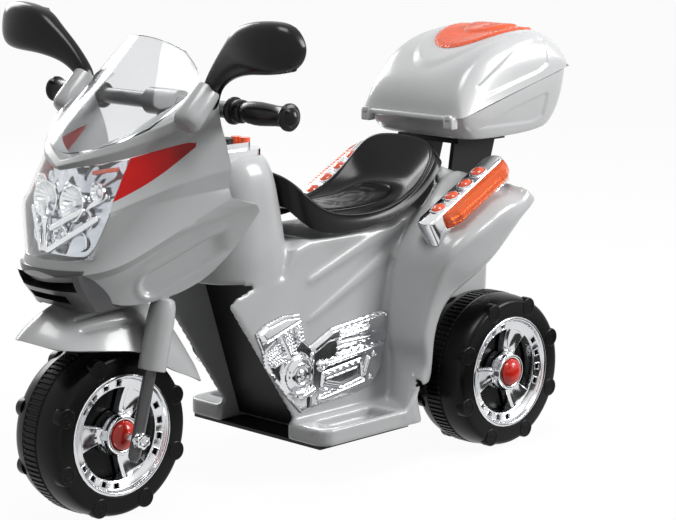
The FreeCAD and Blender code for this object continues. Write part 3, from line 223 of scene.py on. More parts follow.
def dress_nodes(materials):
    """Gives every CAD node its finish."""
    for finish, names in FINISH.items():
        for name in names:
            data = NODES[name].data
            data.materials.clear()
            data.materials.append(materials[finish])


# Mesh helpers, in millimetres

def piece(name, mesh, finish, body, replaces=(), sharp=32.0):
    """A mesh made in millimetres turned into a piece that rides on a body."""
    mesh.transform(Matrix.Scale(MM, 4))
    mesh.materials.append(MATERIALS[finish])
    mesh.shade_smooth()
    mesh.set_sharp_from_angle(angle=math.radians(sharp))
    obj = bpy.data.objects.new(name, mesh)
    bpy.context.collection.objects.link(obj)
    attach(obj, body)
    if replaces:
        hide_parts(*replaces)


def pair(name, left, finish, body, node, sharp=32.0):
    """A left piece and its mirror image on the right, for a left and a right node."""
    piece(name + "_left", left.copy(), finish, body, [node + "_left"], sharp)
    piece(name + "_right", moved(left, FLIP), finish, body, [node + "_right"], sharp)


def from_lists(verts, faces):
    """A mesh from points and faces, with its normals set outward."""
    mesh = bpy.data.meshes.new("mesh")
    mesh.from_pydata([tuple(v) for v in verts], [], faces)
    bm = bmesh.new()
    bm.from_mesh(mesh)
    bmesh.ops.recalc_face_normals(bm, faces=bm.faces)
    bm.to_mesh(mesh)
    bm.free()
    return mesh


def from_bmesh(bm):
    """A mesh made of a bmesh, which is freed."""
    mesh = bpy.data.meshes.new("mesh")
    bm.to_mesh(mesh)
    bm.free()
    return mesh


def joined(meshes):
    """Several meshes as one."""
    bm = bmesh.new()
    for mesh in meshes:
        bm.from_mesh(mesh)
    return from_bmesh(bm)


def moved(mesh, matrix):
    """A transformed copy of a mesh, turned right side out if it was mirrored."""
    copy = mesh.copy()
    copy.transform(matrix)
    if matrix.determinant() < 0:
        copy.flip_normals()
    return copy


def facing(way, axis="X", up="Z"):
    """A turn that points a mesh's axis along a way."""
    return Vector(way).to_track_quat(axis, up).to_matrix().to_4x4()


def strips(rows, columns, loop_rows=False, loop_columns=True):
    """Quads between rows of points that are stored one row after another.

    Looped rows or columns have their last one joined to the first.
    """
    faces = []
    for r in range(rows if loop_rows else rows - 1):
        s = (r + 1) % rows
        for c in range(columns if loop_columns else columns - 1):
            d = (c + 1) % columns
            faces.append((r * columns + c, r * columns + d, s * columns + d, s * columns + c))
    return faces


def ends(rows, columns):
    """The faces that close a stack of looped rows at its two ends."""
    return [tuple(range(columns)), tuple(range((rows - 1) * columns, rows * columns))]


def lathe(profile, count, shift=None, closed=False):
    """A profile of (x, radius) turned about X.

    shift(k) may give column k its angle and a radius change for each point of the profile.
    A closed profile has its last point joined to the first.
    """
    verts = []
    for k in range(count):
        angle, change = shift(k) if shift else (2 * math.pi * k / count, {})
        for i, (x, radius) in enumerate(profile):
            r = radius + change.get(i, 0.0)
            verts.append((x, r * math.sin(angle), r * math.cos(angle)))
    return from_lists(verts, strips(count, len(profile), True, closed))


def evaluated(mesh, setup):
    """A mesh after the modifiers that setup adds to it."""
    obj = bpy.data.objects.new("work", mesh)
    bpy.context.collection.objects.link(obj)
    setup(obj)
    depsgraph = bpy.context.evaluated_depsgraph_get()
    out = bpy.data.meshes.new_from_object(obj.evaluated_get(depsgraph))
    bpy.data.objects.remove(obj)
    return out


def skinned(mesh, levels, thickness, mirrored=True):
    """A control mesh mirrored, subdivided and given a wall on its inner side."""
    def setup(obj):
        if mirrored:
            mirror = obj.modifiers.new("mirror", "MIRROR")
            mirror.merge_threshold = 0.01
        sub = obj.modifiers.new("sub", "SUBSURF")
        sub.levels = levels
        sub.boundary_smooth = "PRESERVE_CORNERS"
        if thickness:
            shell = obj.modifiers.new("shell", "SOLIDIFY")
            shell.thickness = thickness
            shell.offset = -1.0
            shell.use_even_offset = False
    return evaluated(mesh, setup)


def walled(mesh, thickness):
    """A finished skin given its wall."""
    return skinned(mesh, 0, thickness, False)


def sculpt(mesh, depth):
    """Moves each point along its normal by depth(point)."""
    normals = [v.vector.copy() for v in mesh.vertex_normals]
    for vert, normal in zip(mesh.vertices, normals):
        vert.co += normal * depth(vert.co)


def pressed(control, levels, depth, thickness):
    """A subdivided skin with a relief pressed in it, given its wall."""
    skin = skinned(control, levels, 0)
    sculpt(skin, depth)
    return walled(skin, thickness)


def grid_control(rows, crease_rows=()):
    """Control mesh from rows of points, its outer edges kept."""
    bm = bmesh.new()
    grid = [[bm.verts.new(p) for p in row] for row in rows]
    crease = bm.edges.layers.float.new("crease_edge")
    columns = range(len(rows[0]) - 1)
    for low, high in zip(grid, grid[1:]):
        for c in columns:
            bm.faces.new((low[c], low[c + 1], high[c + 1], high[c]))
    for r, value in crease_rows:
        for c in columns:
            bm.edges.get((grid[r][c], grid[r][c + 1]))[crease] = value
    return from_bmesh(bm)


def node_mesh(*names):
    """Copies of CAD nodes' meshes joined, in millimetres."""
    copies = []
    for name in names:
        copy = NODES[name].data.copy()
        copy.transform(NODES[name].matrix_world)
        copies.append(copy)
    mesh = joined(copies)
    mesh.transform(Matrix.Scale(1.0 / MM, 4))
    return mesh


def narrowed(name, share):
    """A CAD node's mesh made narrower across the part."""
    mesh = node_mesh(name)
    mesh.transform(Matrix.Scale(share, 4, (1, 0, 0)))
    return mesh


def moulded(mesh, voxel, rounds):
    """One skin round joined solids, with its edges rounded as a moulding's are."""
    def setup(obj):
        skin = obj.modifiers.new("skin", "REMESH")
        skin.mode = "VOXEL"
        skin.voxel_size = voxel
        soft = obj.modifiers.new("soft", "SMOOTH")
        soft.factor = 0.5
        soft.iterations = rounds
    return evaluated(mesh, setup)


def rounded_block(lo, hi, radius):
    """A block with rounded edges between two corners."""
    bm = bmesh.new()
    bmesh.ops.create_cube(bm, size=1.0)
    for vert in bm.verts:
        for i in range(3):
            vert.co[i] = hi[i] if vert.co[i] > 0 else lo[i]
    bmesh.ops.bevel(bm, geom=bm.edges[:], offset=radius, segments=3, affect="EDGES",
                    profile=0.5)
    return from_bmesh(bm)


def ray_tree(mesh):
    """A tree for the rays that look for a mesh's surface."""
    bm = bmesh.new()
    bm.from_mesh(mesh)
    tree = BVHTree.FromBMesh(bm)
    bm.free()
    return tree


def both_sides(mesh, place, way):
    """Two copies of a mesh made along X, at a place on the left and the same on the right."""
    x, y, z = place
    return [moved(mesh, Matrix.Translation((side * x, y, z)) @ facing(way)) for side in (1, -1)]


# Measures

def smooth_step(low, high, value):
    """Nought below low, one above high, smooth between."""
    s = min(1.0, max(0.0, (value - low) / (high - low)))
    return s * s * (3.0 - 2.0 * s)


def between(a, b, share):
    """The point at a share of the way from a to b."""
    return tuple(p + (q - p) * share for p, q in zip(a, b))


def off_line(point, line):
    """Distance in a plane from a point to a line piece, and the share along it."""
    (ay, az), (by, bz) = line
    vy, vz = by - ay, bz - az
    share = ((point[0] - ay) * vy + (point[1] - az) * vz) / (vy * vy + vz * vz)
    s = min(1.0, max(0.0, share))
    return math.hypot(point[0] - ay - s * vy, point[1] - az - s * vz), share


def inside(point, polygon):
    """Distance from a point in a plane to a polygon's edge, positive inside it."""
    y, z = point
    nearest = 1e9
    within = False
    for i, a in enumerate(polygon):
        b = polygon[i - 1]
        nearest = min(nearest, off_line(point, (a, b))[0])
        if (a[1] > z) != (b[1] > z) and y < (b[0] - a[0]) * (z - a[1]) / (b[1] - a[1]) + a[0]:
            within = not within
    return nearest if within else -nearest


# Wheels

FACE_X = 38.0
RIBS = 90
RIB_PLACES = (0.0, 0.44, 0.54, 0.90)
GROOVE_DEPTH = -1.7
BOSSES = 8
BOSS_START = 22.0
BOSS_R = 82.8
FRONT_SPOKE_TURN = 33.0
REAR_SPOKE_TURN = 24.0


def tyre_profile():
    """Closed profile of the tyre from its outer hub round the tread to its inner hub."""
    side = [(26.0, 5.2), (26.0, 22.0), (14.0, 22.6), (14.0, 55.0), (25.0, 66.6),
            (36.6, 68.2), (37.4, 69.2), (37.4, 84.0), (37.0, 86.6), (35.6, 88.6),
            (33.0, 90.2), (29.0, 91.6), (24.0, 92.8)]
    outer = side + [(18.0, 93.6), (12.0, 94.0), (6.6, 94.2), (6.0, 93.2), (5.0, 93.2),
                    (4.4, 94.3)]
    band = [(3.5, 94.9), (-2.0, 95.0), (-10.0, 95.0), (-15.5, 94.9)]
    inner = [(-16.4, 94.3), (-17.0, 93.2), (-18.0, 93.2), (-18.6, 93.8)]
    inner += [(-x, radius) for x, radius in reversed(side)]
    return outer + band + inner, range(len(outer), len(outer) + len(band))


def boss():
    """One round boss of the tyre's side, standing along X."""
    return lathe([(28.0, 0.0), (28.0, 11.6), (36.4, 11.4), (37.7, 10.8), (38.2, 10.0),
                  (38.2, 7.4), (37.6, 6.9), (37.6, 5.0), (38.1, 4.5), (38.1, 2.6),
                  (37.6, 2.2), (37.6, 0.0)], 28)


def tyre_mesh():
    """Ribbed tyre with its eight bosses on each side."""
    profile, band = tyre_profile()
    steps = len(RIB_PLACES)
    pitch = 2 * math.pi / RIBS

    def column(k):
        low = GROOVE_DEPTH if k % steps > 1 else 0.0
        return (k // steps + RIB_PLACES[k % steps]) * pitch, {i: low for i in band}

    meshes = [lathe(profile, steps * RIBS, column, closed=True)]
    round_boss = boss()
    for k in range(BOSSES):
        turn = Matrix.Rotation(math.radians(BOSS_START + 360.0 / BOSSES * k), 4, "X")
        out = turn @ Matrix.Translation((0.0, 0.0, BOSS_R))
        meshes.append(moved(round_boss, out))
        meshes.append(moved(round_boss, FLIP @ out))
    return joined(meshes)


# Rows of (radius, height over the wheel's face), from the lip to the hub collar
RIM_ROWS = [(68.2, -2.0), (68.0, -0.4), (67.0, 0.4), (65.0, 0.4), (64.0, -0.2),
            (63.0, -2.6), (62.2, -4.6), (61.2, -5.4), (53.4, -6.9), (52.6, -7.3),
            (52.0, -7.6), (51.4, -8.0), (47.0, -9.0), (40.0, -10.2), (33.0, -10.8),
            (28.0, -10.6), (25.4, -9.8), (24.6, -9.2), (24.0, -8.4), (23.0, -6.6),
            (22.2, -3.0), (22.0, 0.0), (21.4, 0.9), (20.4, 1.3), (18.4, 1.3),
            (17.2, 0.6), (16.8, -3.0)]
# Between these rows the bowl falls to its windows, and each spoke is bevelled by column
WINDOW_ROWS = range(11, 18)
WINDOW_DEPTH = -21.0
SPOKES = 3
SPOKE_FALL = {0: -1.6, 1: -0.4, 2: 0.6, 3: -2.4}
SPOKE_INNER_R = 24.6
SPOKE_OUTER_R = 51.4
SPOKE_HALF = 9.5
SPOKE_WIDENING = 7.5
SPOKE_LIP = 2.6
SPOKE_WALL = 0.7
WINDOW_ANGLES = [28.5, 37.5, 46.5, 55.5, 60.0]
RIM_BEVEL = 0.5
RIM_WALL = 0.8
SLOT_ROW = 7
SLOT_COLUMNS = (5, 7, 10, 12)
SLOT_INSETS = ((0.5, 0.7), (0.6, 0.3), (0.3, -9.0))


def rim_columns(radius):
    """Angles of one half sector at a radius: across a spoke, its wall, then the window."""
    r = min(max(radius, SPOKE_INNER_R), SPOKE_OUTER_R)
    outward = (r - SPOKE_INNER_R) / (SPOKE_OUTER_R - SPOKE_INNER_R)
    half = SPOKE_HALF + outward * SPOKE_WIDENING
    edge = math.degrees(math.asin(half / r))
    lip = math.degrees(SPOKE_LIP / r)
    wall = math.degrees(SPOKE_WALL / r)
    return [0.0, 0.5 * (edge - lip), edge - lip, edge, edge + wall] + WINDOW_ANGLES


def rim_points(turn_degrees):
    """Points of the rim cover row by row, and how many a row has."""
    pitch = 360.0 / SPOKES
    verts = []
    for row, (radius, height) in enumerate(RIM_ROWS):
        half = list(enumerate(rim_columns(radius)))
        angles = []
        for sector in range(SPOKES):
            centre = pitch * sector
            angles += [(centre + a, k) for k, a in half]
            angles += [(centre + pitch - a, k) for k, a in half[-2:0:-1]]
        for angle, k in angles:
            h = height
            if row in WINDOW_ROWS:
                h = height + SPOKE_FALL[k] if k in SPOKE_FALL else WINDOW_DEPTH
            a = math.radians(angle + turn_degrees)
            verts.append((FACE_X + h, radius * math.sin(a), radius * math.cos(a)))
    return verts, len(verts) // len(RIM_ROWS)


def cut_slots(mesh, slots):
    """Turns the faces with these numbers into open slots with a soft edge."""
    bm = bmesh.new()
    bm.from_mesh(mesh)
    bm.faces.ensure_lookup_table()
    openings = [bm.faces[i] for i in slots]
    for thickness, depth in SLOT_INSETS:
        bmesh.ops.inset_individual(bm, faces=openings, thickness=thickness, depth=depth)
    bmesh.ops.delete(bm, geom=openings, context="FACES")
    bm.to_mesh(mesh)
    bm.free()


def rim_mesh(turn_degrees):
    """Plated rim cover: lip, bowl with slots, three bevelled spokes and the hub collar."""
    verts, columns = rim_points(turn_degrees)
    faces = []
    slots = []
    for quad in strips(len(RIM_ROWS), columns):
        if all(verts[i][0] < FACE_X + WINDOW_DEPTH + 0.1 for i in quad):
            continue
        row, column = divmod(quad[0], columns)
        if row == SLOT_ROW and column % (columns // SPOKES) in SLOT_COLUMNS:
            slots.append(len(faces))
        faces.append(quad)
    mesh = from_lists(verts, faces)
    cut_slots(mesh, slots)

    def setup(obj):
        bevel = obj.modifiers.new("bevel", "BEVEL")
        bevel.width = RIM_BEVEL
        bevel.segments = 2
        bevel.limit_method = "ANGLE"
        bevel.angle_limit = math.radians(35)
        shell = obj.modifiers.new("shell", "SOLIDIFY")
        shell.thickness = RIM_WALL
        shell.offset = -1.0

    return evaluated(mesh, setup)


def cap_mesh():
    """Domed hub cap with a small rim."""
    profile = [(34.0, 16.2), (39.0, 16.2), (39.6, 15.9), (41.4, 15.2), (43.4, 13.4),
               (45.2, 10.6), (46.4, 7.2), (47.0, 3.6), (47.15, 0.0)]
    return lathe(profile, 48)


def wheels():
    """Three wheels, each with its tyre, plated covers and caps."""
    rubber = tyre_mesh()
    cap = cap_mesh()
    rim = rim_mesh(FRONT_SPOKE_TURN)
    sides = [FRONT_AXLE, FRONT_AXLE @ FLIP]
    piece("tyre_front", moved(rubber, FRONT_AXLE), "tyre", "front_wheel", ["front_tyre"])
    piece("rims_front", joined([moved(rim, m) for m in sides]), "chrome", "front_wheel",
          ["front_rim_covers"])
    piece("caps_front", joined([moved(cap, m) for m in sides]), "cap", "front_wheel",
          ["front_hub_caps"])
    rim = rim_mesh(REAR_SPOKE_TURN)
    for side, place in (("left", REAR_WHEEL), ("right", FLIP @ REAR_WHEEL)):
        body = "rear_wheel_" + side
        piece("tyre_rear_" + side, moved(rubber, place), "tyre", body, ["rear_tyre_" + side])
        piece("rim_rear_" + side, moved(rim, place), "chrome", body,
              ["rear_rim_cover_" + side])
        piece("cap_rear_" + side, moved(cap, place), "cap", body, ["rear_hub_cap_" + side])


# Cowl, lamps, windscreen and front fender

# Rows from the screen's foot down to the wing's edge, each from the middle to the side
FAIRING_ROWS = [
    [(0, -322, 400), (36, -309, 414), (57, -286, 428), (69, -258, 446), (77, -229, 459),
     (85, -205, 469), (93, -188, 474)],
    [(0, -337, 397), (38, -323, 408), (62, -305, 418), (80, -281, 431), (95, -254, 443),
     (106, -231, 452), (108, -209, 460)],
    [(0, -344, 391), (37, -330, 402), (60, -313, 409), (77, -290, 418), (92, -258, 429),
     (104, -229, 437), (106, -206, 446)],
    [(0, -339, 387), (35, -331, 394), (55, -317, 399), (70, -299, 403), (83, -264, 411),
     (95, -229, 418), (103, -201, 431)],
    [(0, -354, 358), (38, -348, 358), (58, -338, 358), (70, -324, 359), (86, -281, 378),
     (97, -232, 411), (103, -193, 412)],
    [(0, -360, 346), (40, -353, 346), (61, -344, 347), (73.5, -331, 349), (89, -283, 365),
     (98, -236, 377), (103.5, -187, 384)],
    [(0, -362, 338), (40, -355, 338), (61, -346, 339), (73.5, -332, 344), (84, -284, 353),
     (92, -237, 359), (98, -186, 362)],
    [(0, -370, 296), (28, -363, 296), (45, -353, 297), (57, -343, 299), (82, -287, 332),
     (94, -232, 348), (100, -186, 357)],
    [(0, -378, 277), (32, -369, 279), (57, -349, 283), (76, -321, 289), (88, -275, 312),
     (97, -228, 334), (102, -186, 352)],
    [(0, -370, 271), (32, -361, 273), (50, -341, 274), (65, -312, 280), (75, -266, 301),
     (86, -219, 323), (105, -152, 341)],
    [None, None, (47, -339, 267), (58, -312, 265), (69, -266, 276), (79, -209, 290),
     (103, -146, 335)],
    [None, None, (44, -335, 259), (50, -316, 247), (62, -293, 240), (74, -194, 252),
     (101, -144, 331)],
]
# Cells of these rows that are the headlamp's cover, a red side lens and the open chin
LENS_CELLS = [(r, c) for r in (3, 4, 5, 6) for c in (0, 1, 2)]
RED_CELLS = [(3, 3), (3, 4)]
SCREEN_FOOT_Z = 380
CHIN_CELLS = [(r, c) for r in (9, 10) for c in (0, 1)]
# Sharp rows: first and last column, sharpness
ROW_CREASES = {1: (0, 6, 0.5), 2: (0, 6, 0.45), 5: (3, 6, 0.9), 6: (3, 6, 0.9),
               8: (0, 6, 1.0), 9: (2, 6, 0.7)}


def fairing_control(cells):
    """Control mesh of one side of the fairing, with the cells that are asked for."""
    bm = bmesh.new()
    grid = {}
    for r, row in enumerate(FAIRING_ROWS):
        for c, point in enumerate(row):
            if point is not None:
                grid[r, c] = bm.verts.new(point)
    crease = bm.edges.layers.float.new("crease_edge")
    for r, c in cells:
        corners = [(r, c), (r, c + 1), (r + 1, c + 1), (r + 1, c)]
        bm.faces.new([grid[k] for k in corners])
    for r, (first, last, value) in ROW_CREASES.items():
        for c in range(first, last):
            edge = bm.edges.get((grid[r, c], grid[r, c + 1])) if (r, c) in grid else None
            if edge:
                edge[crease] = value
    for edge in bm.edges:
        if edge.is_boundary and any(v.co.x > 0.1 for v in edge.verts):
            edge[crease] = 1.0
        elif all(v.co.x < 0.1 and v.co.z > SCREEN_FOOT_Z for v in edge.verts):
            edge[crease] = 0.8
    for vert in [v for v in bm.verts if not v.link_faces]:
        bm.verts.remove(vert)
    bmesh.ops.recalc_face_normals(bm, faces=bm.faces)
    if sum(f.normal.y for f in bm.faces) > 0:
        bmesh.ops.reverse_faces(bm, faces=bm.faces)
    return from_bmesh(bm)


WING_SLOT = ((-270.0, 264.0), (-176.0, 306.0))
WING_INNER_X = 52
WING_TOP_Z = 345
WING_SLOT_HALF = 13.0
WING_SLOT_DEPTH = 3.6
WING_LIP = 1.6


def wing_slot(co):
    """Rounded recess along the wing, with a soft lip round its front end."""
    if abs(co.x) < WING_INNER_X or co.z > WING_TOP_Z:
        return 0.0
    far, share = off_line((co.y, co.z), WING_SLOT)
    fade = 1.0 - smooth_step(0.75, 1.0, share)
    wall = smooth_step(WING_SLOT_HALF - 3.0, WING_SLOT_HALF + 1.0, far)
    floor = -WING_SLOT_DEPTH * (1.0 - wall)
    lip = WING_LIP * math.exp(-((far - WING_SLOT_HALF - 4.0) / 3.0) ** 2)
    return (floor + lip) * fade


PANEL_WALL = 2.6
SOCKET = [(-11.0, 0.0), (-11.0, 8.0), (-9.0, 12.6), (-4.0, 15.4), (4.0, 16.0), (38.0, 14.6),
          (39.4, 14.2), (39.6, 13.4), (39.0, 12.4), (14.0, 11.8), (14.0, 0.0)]
SOCKET_PLACE = (102.0, -246.0, 442.0)
SOCKET_WAY = (0.0, 30.0, 31.0)


def fairing():
    """Cowl shell with its wings and mirror sockets."""
    openings = LENS_CELLS + RED_CELLS + CHIN_CELLS
    cells = [(r, c) for r in range(len(FAIRING_ROWS) - 1) for c in range(6)
             if (r, c) not in openings]
    shell = pressed(fairing_control(cells), 4, wing_slot, PANEL_WALL)
    sockets = both_sides(lathe(SOCKET, 40), SOCKET_PLACE, SOCKET_WAY)
    piece("cowl", joined([shell] + sockets), "silver", "steering", ["fairing"], 38.0)


COVER_WALL = 2.0
RED_WALL = 3.0


def lamps():
    """Clear headlamp cover and the red side lenses."""
    cover = skinned(fairing_control(LENS_CELLS), 3, COVER_WALL)
    piece("headlamp_cover", cover, "clear", "steering", ["headlamp_lens"])
    red = skinned(fairing_control(RED_CELLS), 4, RED_WALL, False)
    pair("turn_lamp", red, "red", "steering", "turn_lens")


SCREEN_WALL = 2.4
SCREEN_ROWS = [
    [(0, -333, 402), (30, -324, 408), (57, -306, 417), (79, -280, 432)],
    [(0, -303, 440), (32, -296, 443), (61, -276, 446), (84, -244, 454)],
    [(0, -264, 481), (30, -257, 481), (58, -239, 478), (84, -210, 475)],
    [(0, -235, 511), (26, -230, 509), (48, -216, 502), (66, -203, 492)],
    [(0, -224, 522), (20, -220, 520), (37, -212, 514), (50, -204, 506)],
]


def windscreen():
    """Clear bubble screen with its thickness."""
    mesh = grid_control(SCREEN_ROWS)
    mesh.flip_normals()
    piece("screen", skinned(mesh, 3, SCREEN_WALL), "screen", "steering", ["windscreen"])


FENDER_ROWS = [
    [(0, -398, 212), (10, -393, 210), (20, -386, 207), (30, -376, 203)],
    [(0, -381, 228), (14, -379, 221), (30, -372, 211), (41, -362, 200)],
    [(0, -352, 245), (17, -350, 234), (36, -345, 215), (50, -338, 198)],
    [(0, -315, 252), (20, -313, 243), (39, -309, 221), (52, -305, 193)],
    [(0, -275, 253), (22, -274, 244), (42, -273, 221), (53, -272, 189)],
    [(0, -237, 240), (22, -237, 231), (42, -236, 205), (51, -238, 162)],
    [(0, -207, 214), (22, -207, 205), (40, -206, 180), (47, -202, 148)],
    [(0, -189, 180), (20, -188, 172), (35, -186, 156), (44, -184, 138)],
]
RIDGE_TALL = 4.0
RIDGE_HALF = 5.0
FENDER_RIDGES = (((24, -352, 227), (32, -262, 236)), ((33, -348, 216), (42, -264, 220)))


def fender_relief(co):
    """Two sharp ridges that run back over each side of the front fender."""
    lift = 0.0
    here = Vector((abs(co.x), co.y, co.z))
    for start, end in FENDER_RIDGES:
        a, b = Vector(start), Vector(end)
        share = (here - a).dot(b - a) / (b - a).length_squared
        if 0.0 < share < 1.0:
            far = (here - a - (b - a) * share).length
            tall = RIDGE_TALL * smooth_step(0.0, 0.16, share)
            tall *= 1.0 - smooth_step(0.7, 1.0, share)
            lift = max(lift, tall * max(0.0, 1.0 - far / RIDGE_HALF))
    return lift


def front_fender():
    """Pointed front fender with its ridges."""
    mesh = grid_control(FENDER_ROWS, [(0, 1.0), (7, 1.0)])
    mesh.flip_normals()
    piece("fender", pressed(mesh, 4, fender_relief, PANEL_WALL), "silver", "steering",
          ["front_fender"])


# Mirrors, grips, fork and front axle

# Stations outward: upper and lower (x, z), middle y, reach to the front and to the back
MIRROR_STATIONS = [
    ((97, 452), (111, 446), -218, 8, 8), ((96, 473), (114, 467), -216, 9, 9),
    ((102, 483), (121, 474), -217, 9, 9), ((112, 496), (132, 481), -218, 10, 9),
    ((128, 513), (148, 487), -220, 12, 9), ((145, 528), (167, 491), -223, 15, 10),
    ((159, 541), (183, 493), -225, 18, 15), ((182, 548), (203, 494), -227, 19, 17),
    ((205, 549.8), (222, 496), -225, 19, 15), ((224, 549), (232, 499), -221, 18, 11),
    ((236, 543), (240, 505), -218, 14, 8), ((242.5, 533), (244.5, 513), -217, 8, 6),
    ((245.5, 525.5), (245.5, 521.5), -216, 3, 3)]
MIRROR_TURNS = 32
MIRROR_POWER = 0.72
HOUSING_MIDDLE_Y = -222.0
GLASS_BACK_Y = -214.4
GLASS_EDGE = 1.5
GLASS_X = (168.0, 234.6)
GLASS_Z = (497.2, 544.4)


def squared(value):
    """A sine or cosine that draws a rounded square in place of a circle."""
    return math.copysign(abs(value) ** MIRROR_POWER, value)


def mirror_mesh():
    """Loft of the mirror's arm and housing: a domed front, and a rim round the glass."""
    verts = []
    for (tx, tz), (bx, bz), middle, front, back in MIRROR_STATIONS:
        for k in range(MIRROR_TURNS):
            a = 2.0 * math.pi * k / MIRROR_TURNS
            out = squared(math.sin(a))
            share = 0.5 + 0.5 * squared(math.cos(a))
            y = middle - out * (front if out > 0 else back)
            verts.append((bx + (tx - bx) * share, y, bz + (tz - bz) * share))
    size = (len(MIRROR_STATIONS), MIRROR_TURNS)
    skin = skinned(from_lists(verts, strips(*size) + ends(*size)), 3, 0, False)
    for vert in skin.vertices:
        x, y, z = vert.co
        within = min(x - GLASS_X[0], GLASS_X[1] - x, z - GLASS_Z[0], GLASS_Z[1] - z)
        if y > HOUSING_MIDDLE_Y and within > 0.0:
            vert.co.y = y + (GLASS_BACK_Y - y) * smooth_step(0.0, GLASS_EDGE, within)
    return skin


def mirrors():
    """Both mirror housings, each one moulding with its arm."""
    pair("mirror_case", mirror_mesh(), "black", "steering", "mirror")


GRIP_PROFILE = [(0.0, 8.0), (0.0, 13.8), (1.0, 14.9), (3.6, 14.9), (4.8, 13.8), (5.6, 12.2),
                (9.0, 12.8), (15.0, 12.8), (17.0, 12.2), (18.4, 10.4), (20.6, 10.4),
                (22.4, 11.4), (32.0, 12.6), (44.0, 12.8), (56.0, 12.0), (68.0, 11.0),
                (80.0, 11.2), (83.0, 12.2), (84.4, 13.8), (85.6, 14.8), (88.0, 14.8),
                (89.2, 13.8), (90.0, 10.6), (92.6, 9.4), (95.2, 6.2), (96.6, 2.6), (96.9, 0.0)]
GRIP_PLACE = Matrix.Translation((108.0, -188.7, 447.0))


def grips():
    """Waisted grips with a flange at each end and a domed cap."""
    grip = moved(lathe(GRIP_PROFILE, 48), GRIP_PLACE)
    pair("grip_cover", grip, "black", "steering", "grip")


SLEEVE = [(0.0, 11.0), (0.0, 14.8), (0.8, 15.4), (3.0, 15.5), (56.0, 15.3), (70.0, 14.2),
          (77.0, 12.0), (79.0, 9.0), (79.0, 5.0), (96.0, 5.0), (96.0, 0.0)]
SLEEVE_PLACE = (62.0, -268.6, 168.5)
SLEEVE_WAY = (0.0, 23.0, 90.0)
AXLE_HALF = [(0.0, 0.0), (0.0, 5.0), (65.0, 5.0), (65.0, 9.9), (66.6, 9.9), (66.8, 8.6),
             (67.2, 8.8), (72.6, 8.6), (73.8, 7.6), (74.0, 6.0), (73.8, 4.6), (70.0, 4.2),
             (70.0, 0.0)]
AXLE_TURNS = 48
NUT_SIDES = 6
NUT_WAVE = 0.9
NUT_POINTS = (6, 7, 8)
BAR_SHARE = 0.60
CROWN_SHARE = 0.80


def nut_column(k):
    """Angle of a column of the axle, and the wave that gives its nut six sides."""
    wave = NUT_WAVE * math.cos(2.0 * math.pi * k / (AXLE_TURNS / NUT_SIDES))
    return 2.0 * math.pi * k / AXLE_TURNS, {i: wave for i in NUT_POINTS}


def fork_parts():
    """Fork covers and crown, the front axle with its nuts, and the bar in the cowl."""
    sleeves = both_sides(lathe(SLEEVE, 48), SLEEVE_PLACE, SLEEVE_WAY)
    piece("fork_sleeves", joined(sleeves), "silver", "steering", ["fork_covers"])
    half = lathe(AXLE_HALF, AXLE_TURNS, nut_column)
    axle = joined([moved(half, FRONT_AXLE), moved(half, FLIP @ FRONT_AXLE)])
    piece("axle_front", axle, "steel", "steering", ["front_axle"])
    piece("cowl_bar", narrowed("fairing_frame", BAR_SHARE), "dull", "steering",
          ["fairing_frame"])
    piece("crown", narrowed("fork_crown", CROWN_SHARE), "fork", "steering", ["fork_crown"])


# Body and seat

BODY_NODES = ["body_shell", "rear_fender_left", "rear_fender_right"]
BODY_VOXEL = 3.0
BODY_ROUNDS = 5


def body():
    """Tank, footboards and rear legs as one moulding; returns a copy of its skin."""
    skin = moulded(node_mesh(*BODY_NODES), BODY_VOXEL, BODY_ROUNDS)
    flank = skin.copy()
    piece("body", skin, "silver", "trike", BODY_NODES, 60.0)
    return flank


SEAT_RIM = [(0, -66, 362), (38, -58, 360), (58, -42, 343), (66, -12, 312), (68, 40, 302),
            (69, 96, 304), (70, 140, 322), (68, 172, 348), (58, 188, 370), (34, 192, 377),
            (0, 193, 378)]
SEAT_FOOT = [(0, -60, 345), (40, -50, 322), (62, -30, 292), (69, 0, 284), (71, 42, 284),
             (72, 100, 290), (74, 150, 314), (73, 184, 345), (60, 200, 352), (34, 204, 354),
             (0, 205, 354)]
SEAT_FLOOR = [(0, -8, 307), (22, -6, 307), (38, 2, 304), (44, 20, 300), (46, 48, 299),
              (47, 90, 300), (47, 124, 304), (44, 150, 314), (36, 164, 320), (20, 170, 322),
              (0, 171, 322)]
SEAT_PAD = [(0, 8, 311), (18, 10, 311), (30, 16, 309), (35, 28, 307), (37, 50, 306),
            (38, 88, 306), (37, 116, 309), (33, 136, 314), (26, 148, 318), (14, 153, 320),
            (0, 154, 320)]
PAD_MIDDLE = (0, 82, 309)
RIM_ROLL = 3.2
SEAT_CREASES = [(0, 1.0), (3, 0.3), (5, 0.3), (10, 0.5)]
SEAT_WALL = 2.2


def lifted(points, inward, up):
    """A ring of points moved toward the seat's middle and up."""
    out = []
    for (x, y, z), floor in zip(points, SEAT_FLOOR):
        way = Vector((floor[0] - x, floor[1] - y, 0.0)).normalized()
        out.append((x + way.x * inward, y + way.y * inward, z + up))
    return out


